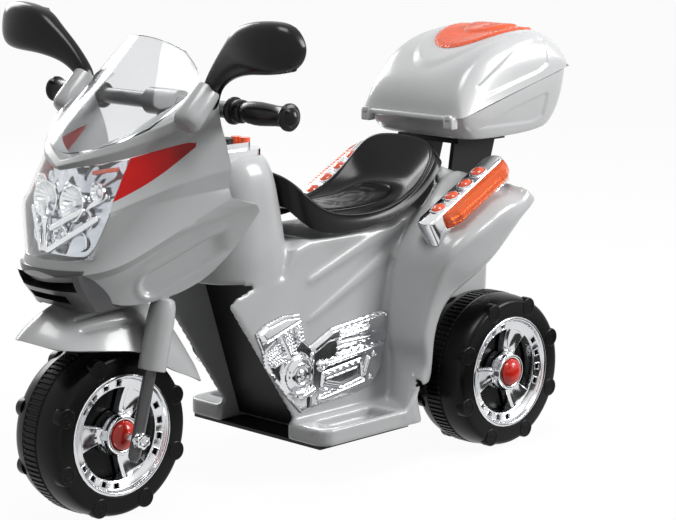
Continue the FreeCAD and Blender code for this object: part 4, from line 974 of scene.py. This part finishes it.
def seat_rows():
    """Rings of the seat, from its foot over the rolled rim down to the pad's middle."""
    rim, foot = SEAT_RIM, SEAT_FOOT
    inner = lifted(rim, 2.0 * RIM_ROLL, -1.5 * RIM_ROLL)
    wall = [between(p, q, 0.6) for p, q in zip(inner, SEAT_FLOOR)]
    wall = [(x * 1.06, y, z) for x, y, z in wall]
    mid = [between(p, PAD_MIDDLE, 0.5) for p in SEAT_PAD]
    centre_y = PAD_MIDDLE[1]
    return [foot, [between(p, q, 0.5) for p, q in zip(foot, rim)],
            lifted(rim, 0.0, -1.6 * RIM_ROLL), lifted(rim, -0.6, -0.3 * RIM_ROLL),
            lifted(rim, 0.5 * RIM_ROLL, 0.0), lifted(rim, 1.5 * RIM_ROLL, -0.3 * RIM_ROLL),
            inner, wall, SEAT_FLOOR, lifted(SEAT_PAD, -3.0, -2.6), SEAT_PAD, mid,
            [(x * 0.05, centre_y + (y - centre_y) * 0.06, 311) for x, y, z in mid]]


# Grooves of the pad: middle y, half width, half length
PAD_LINES = ((82.0, 20.0, 30.0), (82.0, 27.0, 46.0))
PAD_TOP_Z = 325
PAD_HALF_X = 36
PAD_GROOVE_DEPTH = 1.2
PAD_GROOVE_HALF = 1.2


def pad_lines(co):
    """Shallow grooves in rounded loops on the pad."""
    if co.z > PAD_TOP_Z or abs(co.x) > PAD_HALF_X:
        return 0.0
    depth = 0.0
    for y, half_x, half_y in PAD_LINES:
        r = math.hypot(co.x / half_x, (co.y - y) / half_y)
        depth -= PAD_GROOVE_DEPTH * math.exp(-(((r - 1.0) * half_x) / PAD_GROOVE_HALF) ** 2)
    return depth


def seat():
    """Bucket seat in black plastic, with a rolled rim and a pad marked by grooves."""
    mesh = grid_control(seat_rows(), SEAT_CREASES)
    piece("seat_bucket", pressed(mesh, 3, pad_lines, SEAT_WALL), "black", "trike", ["seat"],
          50.0)


# Top box

LID_ROWS = [
    [(0, 205, 401), (34, 205, 401), (64, 205, 401), (79, 206, 401.5), (83, 209, 402.5),
     (85, 214, 403.5)],
    [(0, 205, 424), (34, 205, 424), (62, 206, 424), (76, 211, 424), (83, 222, 416),
     (87, 236, 410.5)],
    [(0, 217, 449), (34, 217, 449), (62, 220, 448), (76, 228, 446), (84, 246, 433),
     (89, 270, 420)],
    [(0, 244, 466), (34, 244, 468), (62, 246, 472), (76, 254, 473), (86, 282, 452),
     (91, 315, 432)],
    [(0, 283, 480), (34, 283, 483), (62, 285, 490), (76, 294, 490), (90, 316, 468),
     (93, 350, 441)],
    [(0, 340, 494), (34, 341, 496), (64, 343, 500), (79, 350, 498), (92, 362, 476),
     (95, 385, 451)],
    [(0, 385, 496), (36, 386, 496), (63, 386, 494), (81, 385, 488), (93, 387, 470),
     (95.5, 392, 452.8)],
    [(0, 398.8, 474), (40, 398.8, 473), (68, 398.2, 470), (84, 396, 467), (94, 393, 460),
     (95.5, 392, 453.6)],
    [(0, 398.8, 456), (40, 398.8, 455.8), (70, 398.2, 455.4), (87, 396, 455), (93, 393, 454.4),
     (95.4, 392, 454)],
]
TRAY_RINGS = [
    [(0, 207, 399.5), (50, 207, 399.5), (77, 208, 400), (85, 217, 403), (89, 270, 418.6),
     (93, 340, 438), (95, 385, 449.6), (92, 395, 453.4), (60, 399, 454), (0, 398.8, 454.6)],
    [(0, 209, 393), (50, 209, 393), (75, 211, 393), (84, 222, 396), (88.6, 272, 408),
     (92, 338, 424), (93.6, 385, 434), (90, 395.6, 437), (59, 399, 438), (0, 398.8, 438)],
    [(0, 218, 380), (49, 218, 380), (71, 221, 380), (80, 234, 381), (84, 279, 385),
     (87, 336, 394), (86, 381, 400), (82, 396, 402), (56, 398, 403), (0, 398.6, 403)],
    [(0, 229, 372.6), (48, 229, 372.6), (67, 232, 372.6), (76, 241, 372), (79, 281, 371.8),
     (80, 335, 373), (78, 373, 377), (71, 385, 379), (50, 389, 380), (0, 390, 380)],
    [(0, 240, 371.4), (42, 240, 371.4), (58, 244, 371.4), (66, 251, 371.2), (69, 285, 371.2),
     (69, 333, 372), (66, 362, 374.4), (58, 374, 376), (42, 377, 377), (0, 378, 377)],
    [(0, 300, 372), (8, 300, 372), (12, 301, 372), (14, 304, 372), (14, 308, 372),
     (14, 312, 372.4), (13, 316, 372.6), (10, 318, 372.6), (8, 319, 372.6), (0, 320, 372.6)],
]
LID_PANEL = [(238, 438), (252, 426), (343, 450), (358, 458), (360, 488), (352, 492), (312, 484)]
LID_PANEL_DEPTH = 1.3
BOX_SIDE_X = 60
LID_TOP_Z = 432
LENS_BED_TALL = 2.6
LENS_BED_HALF_X = 66.0
LENS_BED_REAR_Y = 378.0
LENS_BED_LENGTH = 146.0
REAR_FADE_Y = (376.0, 392.0)
TRAY_PANEL_DEPTH = 1.4
TRAY_PANEL = [(240, 386), (292, 407), (356, 423), (362, 420), (360, 392), (340, 386)]


def lid_relief(co):
    """Sunk panel on each side of the lid and the soft step round its lens."""
    if abs(co.x) > BOX_SIDE_X:
        return -LID_PANEL_DEPTH * smooth_step(-0.6, 2.2, inside((co.y, co.z), LID_PANEL))
    if co.z < LID_TOP_Z:
        return 0.0
    forward = max(0.0, LENS_BED_REAR_Y - co.y) / LENS_BED_LENGTH
    reach = math.hypot(co.x / LENS_BED_HALF_X, forward)
    rear = 1.0 - smooth_step(*REAR_FADE_Y, co.y)
    return LENS_BED_TALL * rear * (1.0 - smooth_step(0.93, 1.05, reach))


def tray_relief(co):
    """Sunk panel on each side of the tray."""
    if abs(co.x) < BOX_SIDE_X:
        return 0.0
    return -TRAY_PANEL_DEPTH * smooth_step(-1.0, 3.0, inside((co.y, co.z), TRAY_PANEL))


BOX_WALL = 2.4
LID_LENS_WALL = -1.2
HINGE_BAR_ROUND = 2.4
CLIP_ROUND = 1.6
HINGE_BAR = ((-60, 198.5, 396.5), (60, 206.5, 403.5))
CLIP_BLOCKS = (((62, 197, 388), (76, 209, 402.5)), ((64.5, 196, 398), (73.5, 203, 405)))
LENS_HALF_X = 52.0
LENS_REAR_Y = 372.0
LENS_LENGTH = 104.0
LENS_TURNS = 96
LENS_RINGS = 40
OVER_LID_Z = 600.0
LID_EDGE_Z = 495.0
FIELD_REACH = 0.50
CURVE_REACH = 0.56
STEP_REACH = 0.06
LENS_TALL = 2.4
LENS_SUNK = 0.5
CURVE_RIBS = 9
CURVE_RIB_TALL = 0.45
FIELD_TALL = 3.4
FIELD_RIB_PITCH = 4.4
FIELD_RIB_TALL = 0.35


def lens_lift(angle, reach, y):
    """Height of the lid's lens over the lid: ribbed outer curve, step and inner field."""
    lift = LENS_TALL * (1.0 - smooth_step(0.94, 1.0, reach)) - LENS_SUNK
    if reach > CURVE_REACH:
        return lift + CURVE_RIB_TALL * math.cos(angle * 2 * math.pi * CURVE_RIBS)
    if reach > FIELD_REACH:
        return lift + FIELD_TALL * (CURVE_REACH - reach) / STEP_REACH
    rib = FIELD_RIB_TALL * math.cos(y * 2 * math.pi / FIELD_RIB_PITCH)
    return lift + (FIELD_TALL + rib)


def lens_sheet(lid):
    """Ribbed lens that lies on the lid's top."""
    tree = ray_tree(lid)
    verts = []
    for i in range(LENS_TURNS + 1):
        angle = math.pi * i / LENS_TURNS
        for j in range(LENS_RINGS + 1):
            reach = j / LENS_RINGS
            x = LENS_HALF_X * reach * math.cos(angle)
            y = LENS_REAR_Y - (LENS_LENGTH * reach) * math.sin(angle) ** 0.8
            hit = tree.ray_cast(Vector((x, y, OVER_LID_Z)), Vector((0.0, 0.0, -1.0)))[0]
            z = hit.z if hit else LID_EDGE_Z
            verts.append((x, y, z + lens_lift(angle, reach, y)))
    return from_lists(verts, strips(LENS_TURNS + 1, LENS_RINGS + 1, loop_columns=False))


def top_box():
    """Lid with its lens and hinge bar, and the tray with its hinge clips."""
    lid = skinned(grid_control(LID_ROWS, [(0, 1.0), (8, 1.0)]), 4, 0)
    sculpt(lid, lid_relief)
    shell = walled(lid, BOX_WALL)
    lens = lens_sheet(lid)
    bar = rounded_block(*HINGE_BAR, HINGE_BAR_ROUND)
    piece("lid_shell", joined([shell, bar]), "pale", "lid", ["box_lid"], 40.0)
    piece("lid_light", walled(lens, LID_LENS_WALL), "amber", "lid", ["lid_lens"], 60.0)
    mesh = grid_control(TRAY_RINGS, [(0, 1.0), (3, 0.25)])
    mesh.flip_normals()
    parts = [pressed(mesh, 4, tray_relief, BOX_WALL)]
    for side in (1, -1):
        for (x0, y0, z0), (x1, y1, z1) in CLIP_BLOCKS:
            low, high = sorted((side * x0, side * x1))
            parts.append(rounded_block((low, y0, z0), (high, y1, z1), CLIP_ROUND))
    piece("tray_shell", joined(parts), "pale", "trike", ["box_tray"], 40.0)


# Sirens

def turned_plan(points, radius, steps):
    """A plan outline with its corners rounded by arcs."""
    out = []
    for i, point in enumerate(points):
        p = Vector(point)
        back = Vector(points[i - 1]) - p
        ahead = Vector(points[(i + 1) % len(points)]) - p
        r = min(radius, 0.45 * back.length, 0.45 * ahead.length)
        a, b = back.normalized(), ahead.normalized()
        for k in range(steps + 1):
            s = k / steps
            out.append(tuple(p + a * r * (1 - s) ** 2 + b * r * s ** 2))
    return out


def swept(outline, levels):
    """A closed outline stacked in levels of (height, inset), closed at both ends."""
    centre = [sum(p[i] for p in outline) / len(outline) for i in (0, 1)]
    verts = []
    for height, inset in levels:
        for u, v in outline:
            way = Vector((centre[0] - u, centre[1] - v))
            k = min(inset / way.length, 0.98)
            verts.append((v + way.y * k, u + way.x * k, height))
    size = (len(levels), len(outline))
    return from_lists(verts, strips(*size) + ends(*size))


def finer(points, step):
    """The points of a line, with more between them about a step apart."""
    out = []
    for a, b in zip(points, points[1:]):
        count = max(1, int(math.dist(a, b) / step))
        out += [tuple(p + (q - p) * i / count for p, q in zip(a, b)) for i in range(count)]
    return out + [points[-1]]


SIREN_FRAME = Matrix.Translation((106.0, 113.0, 287.0)) @ Matrix.Rotation(
    math.radians(27.5), 4, "X")
SIREN_CORNER = 12.5
SIREN_PLAN = [(0.0, -13.0), (151.0, -13.0), (151.0, 13.0), (0.0, 13.0)]
SIREN_LEVELS = [(-31.0, 0.0), (-3.4, 0.0), (-1.6, 0.5), (-0.5, 1.6), (0.0, 3.2)]
LAMP_RING = [(-1.0, 11.6), (0.8, 11.0), (1.8, 10.0), (1.9, 9.0), (1.2, 8.4), (-1.0, 8.2)]
LAMP_DOME = [(-0.6, 8.4), (1.2, 8.3), (2.6, 7.2), (3.9, 5.0), (4.7, 2.5), (4.9, 0.0)]
LAMP_COUNT = 4
LAMP_FIRST = 33.0
LAMP_STEP = 26.4
LENS_SECTION = [(10.0, -1.0), (21.0, -2.2), (27.0, -8.0), (28.0, -15.0), (23.0, -21.0),
                (10.0, -21.0)]
# Stations along the lens and the share of its section there
LENS_STATIONS = [(24.0, 0.30), (26.0, 0.40), (40.0, 0.97), (43.0, 1.0), (128.0, 1.0),
                 (131.0, 0.97), (144.0, 0.5), (145.0, 0.4)]
LENS_BACK = 10.0
LENS_STEP = 0.8
LENS_GROOVE = 0.35
LENS_GROOVE_PITCH = 5.2


def siren_lens():
    """Faceted amber lens with fine ribs across its faces."""
    stations = finer(LENS_STATIONS, LENS_STEP)
    section = finer(LENS_SECTION, LENS_STEP)
    verts = []
    for u, k in stations:
        groove = 0.0
        if k > 0.99:
            groove = LENS_GROOVE * (math.cos(u * 2 * math.pi / LENS_GROOVE_PITCH) > 0.72)
        for v, w in section:
            verts.append((LENS_BACK + (v - LENS_BACK) * k - groove, u, w + groove * 0.5))
    size = (len(stations), len(section))
    return from_lists(verts, strips(*size, loop_columns=False) + ends(*size))


def sirens():
    """Plated housing with four domed lamps on top and a lens on its outer side."""
    parts = [swept(turned_plan(SIREN_PLAN, SIREN_CORNER, 8), SIREN_LEVELS)]
    ring = lathe(LAMP_RING, 40)
    dome = lathe(LAMP_DOME, 32)
    up = Matrix.Rotation(-math.pi / 2, 4, "Y")
    domes = []
    for k in range(LAMP_COUNT):
        place = Matrix.Translation((0.0, LAMP_FIRST + k * LAMP_STEP, 0.0)) @ up
        parts.append(moved(ring, place))
        domes.append(moved(dome, place))
    case = joined(parts)
    amber = siren_lens()
    dome_set = joined(domes)
    for name, place in (("left", SIREN_FRAME), ("right", FLIP @ SIREN_FRAME)):
        piece("siren_case_" + name, moved(case, place), "chrome", "trike", ["siren_" + name])
        piece("siren_light_" + name, moved(amber, place), "amber", "trike",
              ["siren_lens_" + name], 20.0)
    both = [moved(dome_set, SIREN_FRAME), moved(dome_set, FLIP @ SIREN_FRAME)]
    piece("siren_domes", joined(both), "orange", "trike", ["siren_buttons"])


# Engine trim, a plated relief pressed on each flank, drawn in (y, z)

TRIM_OUTLINE = [(-116, 184), (-101, 193), (-74, 199), (-46, 198), (-41, 181), (-41, 166),
                (-31, 157), (5, 173), (93, 182), (97, 152), (89, 112), (73, 91), (41, 86),
                (-11, 83), (-33, 80), (-45, 79), (-60, 94), (-83, 121), (-100, 141),
                (-105, 160)]
TRIM_HEAD = [(-113, 183), (-100, 191), (-74, 197), (-49, 196), (-48, 190), (-104, 172)]
FIN_FIELDS = ([(-102, 161), (-84, 171), (-71, 146), (-84, 141), (-99, 145)],
              [(-76, 178), (-63, 182), (-54, 155), (-64, 150)],
              [(-56, 187), (-46, 184), (-43, 166), (-51, 160)])
FIN_WAY = (-0.322, 0.947)
FIN_PITCH = 4.6
TOP_SLOT = ((18, 164.5), (60, 168))
TOP_PLATE = [(-30, 154), (5, 170), (92, 179), (94, 153), (71, 159), (0, 158), (-24, 147)]
WINDOW = [(-10, 120), (54, 127), (57, 103), (18, 96), (-13, 105)]
# Bars: start, end, half width, height
TRIM_BARS = (((18, 153), (66, 153.5), 3.6, 6.4), ((14, 139.5), (62, 143.5), 1.8, 4.6),
             ((14, 146.5), (64, 149), 1.2, 3.2), ((-4, 132), (88, 141), 3.6, 7.0),
             ((-15, 91), (56, 100), 3.8, 6.6), ((56, 100), (66, 126), 3.4, 5.6),
             ((-45, 99), (-27, 105), 4.0, 7.4), ((-81, 177), (-65, 147), 3.0, 8.6),
             ((-104, 172.5), (-50, 190), 1.4, 8.4), ((-33, 84), (-27, 146), 3.0, 3.6))
# Rounds: middle, radius, height
TRIM_ROUNDS = ((-13, 131, 6.0, 7.6), (88, 161, 4.0, 6.0), (76, 130, 3.4, 5.0),
               (70, 103, 3.4, 5.0), (-92, 126, 6.5, 6.5), (92, 176, 3.0, 6.0))
# The round cover: middle and radius, then shares of the radius with their heights
COVER = (-53.0, 127.0, 25.0)
COVER_STEPS = ((0.0, 11.5), (0.16, 12.6), (0.24, 11.4), (0.34, 10.6), (0.42, 12.2),
               (0.56, 11.4), (0.70, 8.2), (0.80, 5.6), (0.86, 7.4), (0.94, 6.6), (1.0, 2.0))
BASE_TALL = 2.0
HEAD_TALL = 7.0
FIN_TALL = 4.6
PLATE_TALL = 5.6
SLOT_DEPTH = 2.6
WINDOW_RIM = 3.4
FLANK_X = (61.4, 66.5)
RAY_START_X = 68.0
TRIM_Y = (-118.0, 99.0)
TRIM_Z = (78.0, 201.0)
TRIM_STEP = 1.1


def cover_height(share):
    """Height of the round cover at a share of its radius."""
    for (s0, h0), (s1, h1) in zip(COVER_STEPS, COVER_STEPS[1:]):
        if share <= s1:
            return h0 + (h1 - h0) * smooth_step(s0, s1, share)
    return 0.0


def fin_height(spot, field):
    """Height of a field of slanting fins, nought outside it."""
    within = inside(spot, field)
    if within <= -1.0:
        return 0.0
    along = spot[0] * FIN_WAY[0] + spot[1] * FIN_WAY[1]
    wave = abs(math.sin(math.pi * along / FIN_PITCH))
    fin = BASE_TALL + FIN_TALL * smooth_step(0.25, 0.75, wave)
    return fin * smooth_step(-1, 1, within)


def plate_height(spot, h):
    """Adds the top plate with the groove round its slot, and the window's raised rim."""
    plate = inside(spot, TOP_PLATE)
    if plate > -1.0:
        h = max(h, PLATE_TALL * smooth_step(-1.0, 1.6, plate))
        h -= SLOT_DEPTH * math.exp(-((off_line(spot, TOP_SLOT)[0] - 2.6) / 0.9) ** 2)
    window = inside(spot, WINDOW)
    if window > -2.5:
        h += WINDOW_RIM * math.exp(-((window - 0.5) / 1.3) ** 2)
        h += 0.9 * smooth_step(6.0, 8.0, window)
    return h


def stud_height(spot, h):
    """Adds the bars and the dimpled rounds."""
    for start, end, half, tall in TRIM_BARS:
        far = off_line(spot, (start, end))[0] / half
        if far < 1.0:
            h = max(h, tall * (1.0 - far ** 3) ** 0.5)
    for y, z, radius, tall in TRIM_ROUNDS:
        far = math.hypot(spot[0] - y, spot[1] - z) / radius
        if far < 1.0:
            dimple = 2.2 * math.exp(-(far / 0.34) ** 2)
            h = max(h, tall * (1.0 - far ** 4) ** 0.5 - dimple)
    return h


def trim_height(spot):
    """Height of the plated relief over the flank, or None outside its outline."""
    edge = inside(spot, TRIM_OUTLINE)
    if edge < -0.2:
        return None
    cover = math.hypot(spot[0] - COVER[0], spot[1] - COVER[1]) / COVER[2]
    if cover < 1.0:
        return cover_height(cover)
    h = BASE_TALL * smooth_step(0.0, 1.4, edge)
    h = max(h, HEAD_TALL * smooth_step(-0.5, 2.5, inside(spot, TRIM_HEAD)))
    h = max([h] + [fin_height(spot, field) for field in FIN_FIELDS])
    return stud_height(spot, plate_height(spot, h))


def engine_trim(flank):
    """The relief as a fine sheet that follows each flank."""
    tree = ray_tree(flank)
    columns = int((TRIM_Y[1] - TRIM_Y[0]) / TRIM_STEP)
    rows = int((TRIM_Z[1] - TRIM_Z[0]) / TRIM_STEP)
    index = {}
    verts, faces = [], []
    for i in range(columns + 1):
        for j in range(rows + 1):
            y, z = TRIM_Y[0] + i * TRIM_STEP, TRIM_Z[0] + j * TRIM_STEP
            h = trim_height((y, z))
            if h is not None:
                hit = tree.ray_cast(Vector((RAY_START_X, y, z)), Vector((-1.0, 0.0, 0.0)))[0]
                ground = min(FLANK_X[1], max(FLANK_X[0], hit.x + 0.3)) if hit else FLANK_X[0]
                index[i, j] = len(verts)
                verts.append((ground + h, y, z))
    for i, j in index:
        corners = [(i, j), (i + 1, j), (i + 1, j + 1), (i, j + 1)]
        if all(k in index for k in corners):
            faces.append([index[k] for k in corners])
    sheet = from_lists(verts, faces)
    if sum(p.normal.x for p in sheet.polygons) < 0:
        sheet.flip_normals()
    pair("trim", sheet, "chrome", "trike", "engine_trim", 60.0)


# Headlamp inside

BOWL_STEPS = 14
FLUTE_DEPTH = 1.1


def bowl(radius, depth, place, tilt):
    """A fluted round reflector with its bulb."""
    steps = BOWL_STEPS
    profile = [(-depth * (1.0 - (k / steps) ** 2), radius * k / steps)
               for k in range(steps + 1)]
    profile += [(0.6, radius + 0.8), (0.0, radius + 1.8), (-3.0, radius + 2.0)]
    flutes = 20 if radius > 12 else 12

    def column(k):
        return 2 * math.pi * k / (flutes * 4), {
            i: FLUTE_DEPTH * math.cos(2 * math.pi * k / 4) * i / steps for i in range(3, steps)}

    shell = lathe(profile, flutes * 4, column)
    bulb = lathe([(-depth, 4.6), (-depth * 0.5, 4.8), (-depth * 0.3, 3.8),
                  (-depth * 0.2, 2.0), (-depth * 0.16, 0.0)], 24)
    turn = facing((0.0, -1.0, tilt))
    return moved(joined([shell, bulb]), Matrix.Translation(place) @ turn)


# Round reflectors: radius, depth, place, upward tilt
LAMP_BOWLS = ((18.0, 12.0, (22.0, -341.0, 354.0), 0.12), (9.5, 8.0, (13.0, -350.0, 321.0), 0.0),
              (10.0, 8.0, (38.0, -336.0, 337.0), 0.0), (9.5, 8.0, (34.0, -340.0, 315.0), 0.0),
              (9.0, 6.0, (47.0, -327.0, 367.0), 0.1))
# Ribs between them, and the strip over them: start, end, half width
LAMP_RIBS = (((3.0, -361.0, 303.0), (55.0, -331.0, 342.0), 3.4),
             ((3.0, -356.0, 326.0), (58.0, -320.0, 364.0), 3.0),
             ((1.0, -358.0, 340.0), (2.0, -361.0, 303.0), 2.6))
LAMP_STRIP = ((30.0, -318.0, 385.0), (60.0, -307.0, 391.0), 2.4)
# The lamp's back is a smaller copy of the cover, set behind it
FLUTE_CENTRE = (25.0, 356.0)
BACK_SHARE = (0.94, 0.95)
BACK_DEPTH = 21.0
BACK_MIDDLE_Z = 343
BACK_WALL = 1.2


def rod(start, end, half):
    """A rounded bar between two points."""
    way = Vector(end) - Vector(start)
    bar = rounded_block((0, -half, -half), (way.length, half, half), half * 0.7)
    return moved(bar, Matrix.Translation(start) @ facing(way))


def lamp_flutes(co):
    """Rings and rays of the reflector round the large bowl of each side."""
    x, z = abs(co.x) - FLUTE_CENTRE[0], co.z - FLUTE_CENTRE[1]
    far = math.hypot(x, z)
    rays = 1.5 * math.cos(12.0 * math.atan2(z, x)) * smooth_step(19.0, 26.0, far)
    return rays + 4.5 * smooth_step(16.0, 42.0, far)


def headlamp_inside():
    """Behind the cover: a back plated in a darker tone as painted shade, round reflectors with
    bulbs and bright ribs.
    """
    back = skinned(fairing_control(LENS_CELLS), 4, 0)
    for vert in back.vertices:
        x, y, z = vert.co
        vert.co = Vector((x * BACK_SHARE[0], y + BACK_DEPTH,
                          BACK_MIDDLE_Z + (z - BACK_MIDDLE_Z) * BACK_SHARE[1]))
    sculpt(back, lamp_flutes)
    # The back's darker plating is painted shade for the lamp's inside
    piece("headlamp_back", walled(back, BACK_WALL), "bowl_back", "steering")
    parts = [bowl(*values) for values in LAMP_BOWLS]
    parts += [rod(*values) for values in LAMP_RIBS]
    parts += [moved(part, FLIP) for part in parts]
    piece("headlamp_bowl", joined(parts), "bowl", "steering", ["headlamp_reflector"])
    strip = rod(*LAMP_STRIP)
    piece("headlamp_strips", joined([strip, moved(strip, FLIP)]), "orange", "steering")


# Floor and light

FLOOR_GREY = (0.30, 0.30, 0.30, 1.0)
FLOOR_WHITE = (0.85, 0.85, 0.85, 1.0)
FLOOR_GLOW = 0.955
WORLD_STRENGTH = 0.12
CARD_BLACK = (0.02, 0.02, 0.02, 1.0)
# Area lamps in metres: name, place, aim, size, power
LAMPS = (("key", (2.4, 2.0, 1.7), (0.0, 0.0, 0.25), 1.4, 118.0),
         ("top", (0.4, -0.45, 2.2), (0.0, 0.1, 0.25), 0.8, 26.0),
         ("far_side", (-2.4, 0.4, 1.5), (0.0, 0.0, 0.25), 1.4, 46.0))
# Dark cards that only gloss sees, as painted dark reflections, in metres: name, place, aim,
# width, height
CARDS = (("painted_reflection_side", (0.34, 0.20, 0.045), (0.0, 0.20, 0.045), 0.95, 0.09),
         ("painted_reflection_low", (0.34, 0.20, 0.20), (0.0, 0.20, 0.20), 0.95, 0.05))


def seen(tree):
    """One for camera, glossy and transmission rays, nought for the rest."""
    path = tree.nodes.new("ShaderNodeLightPath")
    total = path.outputs["Is Camera Ray"]
    for name in ("Is Glossy Ray", "Is Transmission Ray"):
        add = tree.nodes.new("ShaderNodeMath")
        add.operation = "MAXIMUM"
        tree.links.new(total, add.inputs[0])
        tree.links.new(path.outputs[name], add.inputs[1])
        total = add.outputs[0]
    return total


def mixed(tree, factor, first, second):
    """A mix node of two shaders; the factor is a number or another node's output."""
    mix = tree.nodes.new("ShaderNodeMixShader")
    if isinstance(factor, float):
        mix.inputs["Fac"].default_value = factor
    else:
        tree.links.new(factor, mix.inputs["Fac"])
    tree.links.new(first, mix.inputs[1])
    tree.links.new(second, mix.inputs[2])
    return mix.outputs["Shader"]


def lit_floor(tree, shader):
    """White floor with its shadow for rays that see it, a plain grey one for bounced light."""
    sight = seen(tree)
    white = tree.nodes.new("ShaderNodeBsdfDiffuse")
    set_inputs(white, {"Color": FLOOR_WHITE})
    glow = tree.nodes.new("ShaderNodeEmission")
    set_inputs(glow, {"Strength": 1.0})
    bright = mixed(tree, FLOOR_GLOW, white.outputs["BSDF"], glow.outputs["Emission"])
    whole = mixed(tree, sight, shader.outputs["BSDF"], bright)
    tree.links.new(whole, tree.nodes["Material Output"].inputs["Surface"])


def white_world():
    """A world that rays which see it find white, and that lights the scene only faintly."""
    world = bpy.data.worlds.new("world")
    bpy.context.scene.world = world
    world.use_nodes = True
    tree = world.node_tree
    back = tree.nodes["Background"]
    set_inputs(back, {"Color": (1.0, 1.0, 1.0, 1.0), "Strength": WORLD_STRENGTH})
    white = tree.nodes.new("ShaderNodeBackground")
    set_inputs(white, {"Color": (1.0, 1.0, 1.0, 1.0), "Strength": 1.0})
    whole = mixed(tree, seen(tree), back.outputs["Background"], white.outputs["Background"])
    tree.links.new(whole, tree.nodes["World Output"].inputs["Surface"])


def studio():
    """Pale floor that the camera sees as white, with soft lamps."""
    bpy.ops.mesh.primitive_plane_add(size=30.0)
    floor = bpy.context.object
    floor.name = "floor"
    mat, tree, shader = new_material("floor_white")
    set_inputs(shader, {"Base Color": FLOOR_GREY, "Specular IOR Level": 0.0, "Roughness": 0.9})
    floor.data.materials.append(mat)
    lit_floor(tree, shader)
    white_world()
    for values in LAMPS:
        lamp(*values)
    for values in CARDS:
        card(*values)


def card(name, place, aim, wide, tall):
    """A dark card that only mirrors and gloss see: a painted dark reflection that casts no
    shadow.
    """
    turn = facing(Vector(aim) - Vector(place), "Z", "Y")
    corners = [Vector((x * wide / 2, y * tall / 2, 0.0))
               for x, y in ((-1, -1), (1, -1), (1, 1), (-1, 1))]
    mesh = bpy.data.meshes.new(name)
    mesh.from_pydata([Matrix.Translation(place) @ turn @ c for c in corners], [],
                     [(0, 1, 2, 3)])
    obj = bpy.data.objects.new(name, mesh)
    bpy.context.collection.objects.link(obj)
    mat, tree, shader = new_material(name)
    # Black that shows only in reflections: painted dark reflection
    set_inputs(shader, {"Base Color": CARD_BLACK, "Roughness": 0.9})
    mesh.materials.append(mat)
    obj.visible_camera = False
    obj.visible_diffuse = False
    obj.visible_shadow = False
    obj.visible_transmission = False


def lamp(name, place, aim, size, power):
    """A soft area lamp."""
    data = bpy.data.lights.new(name, "AREA")
    data.size = size
    data.energy = power
    obj = bpy.data.objects.new(name, data)
    obj.location = place
    way = Vector(aim) - Vector(place)
    obj.rotation_euler = way.to_track_quat("-Z", "Y").to_euler()
    bpy.context.collection.objects.link(obj)


# The scene

camera()
MATERIALS = make_materials()
dress_nodes(MATERIALS)
wheels()
fairing()
lamps()
windscreen()
front_fender()
mirrors()
grips()
fork_parts()
flank = body()
seat()
top_box()
sirens()
engine_trim(flank)
headlamp_inside()
studio()
bpy.context.scene.view_settings.view_transform = "Standard"
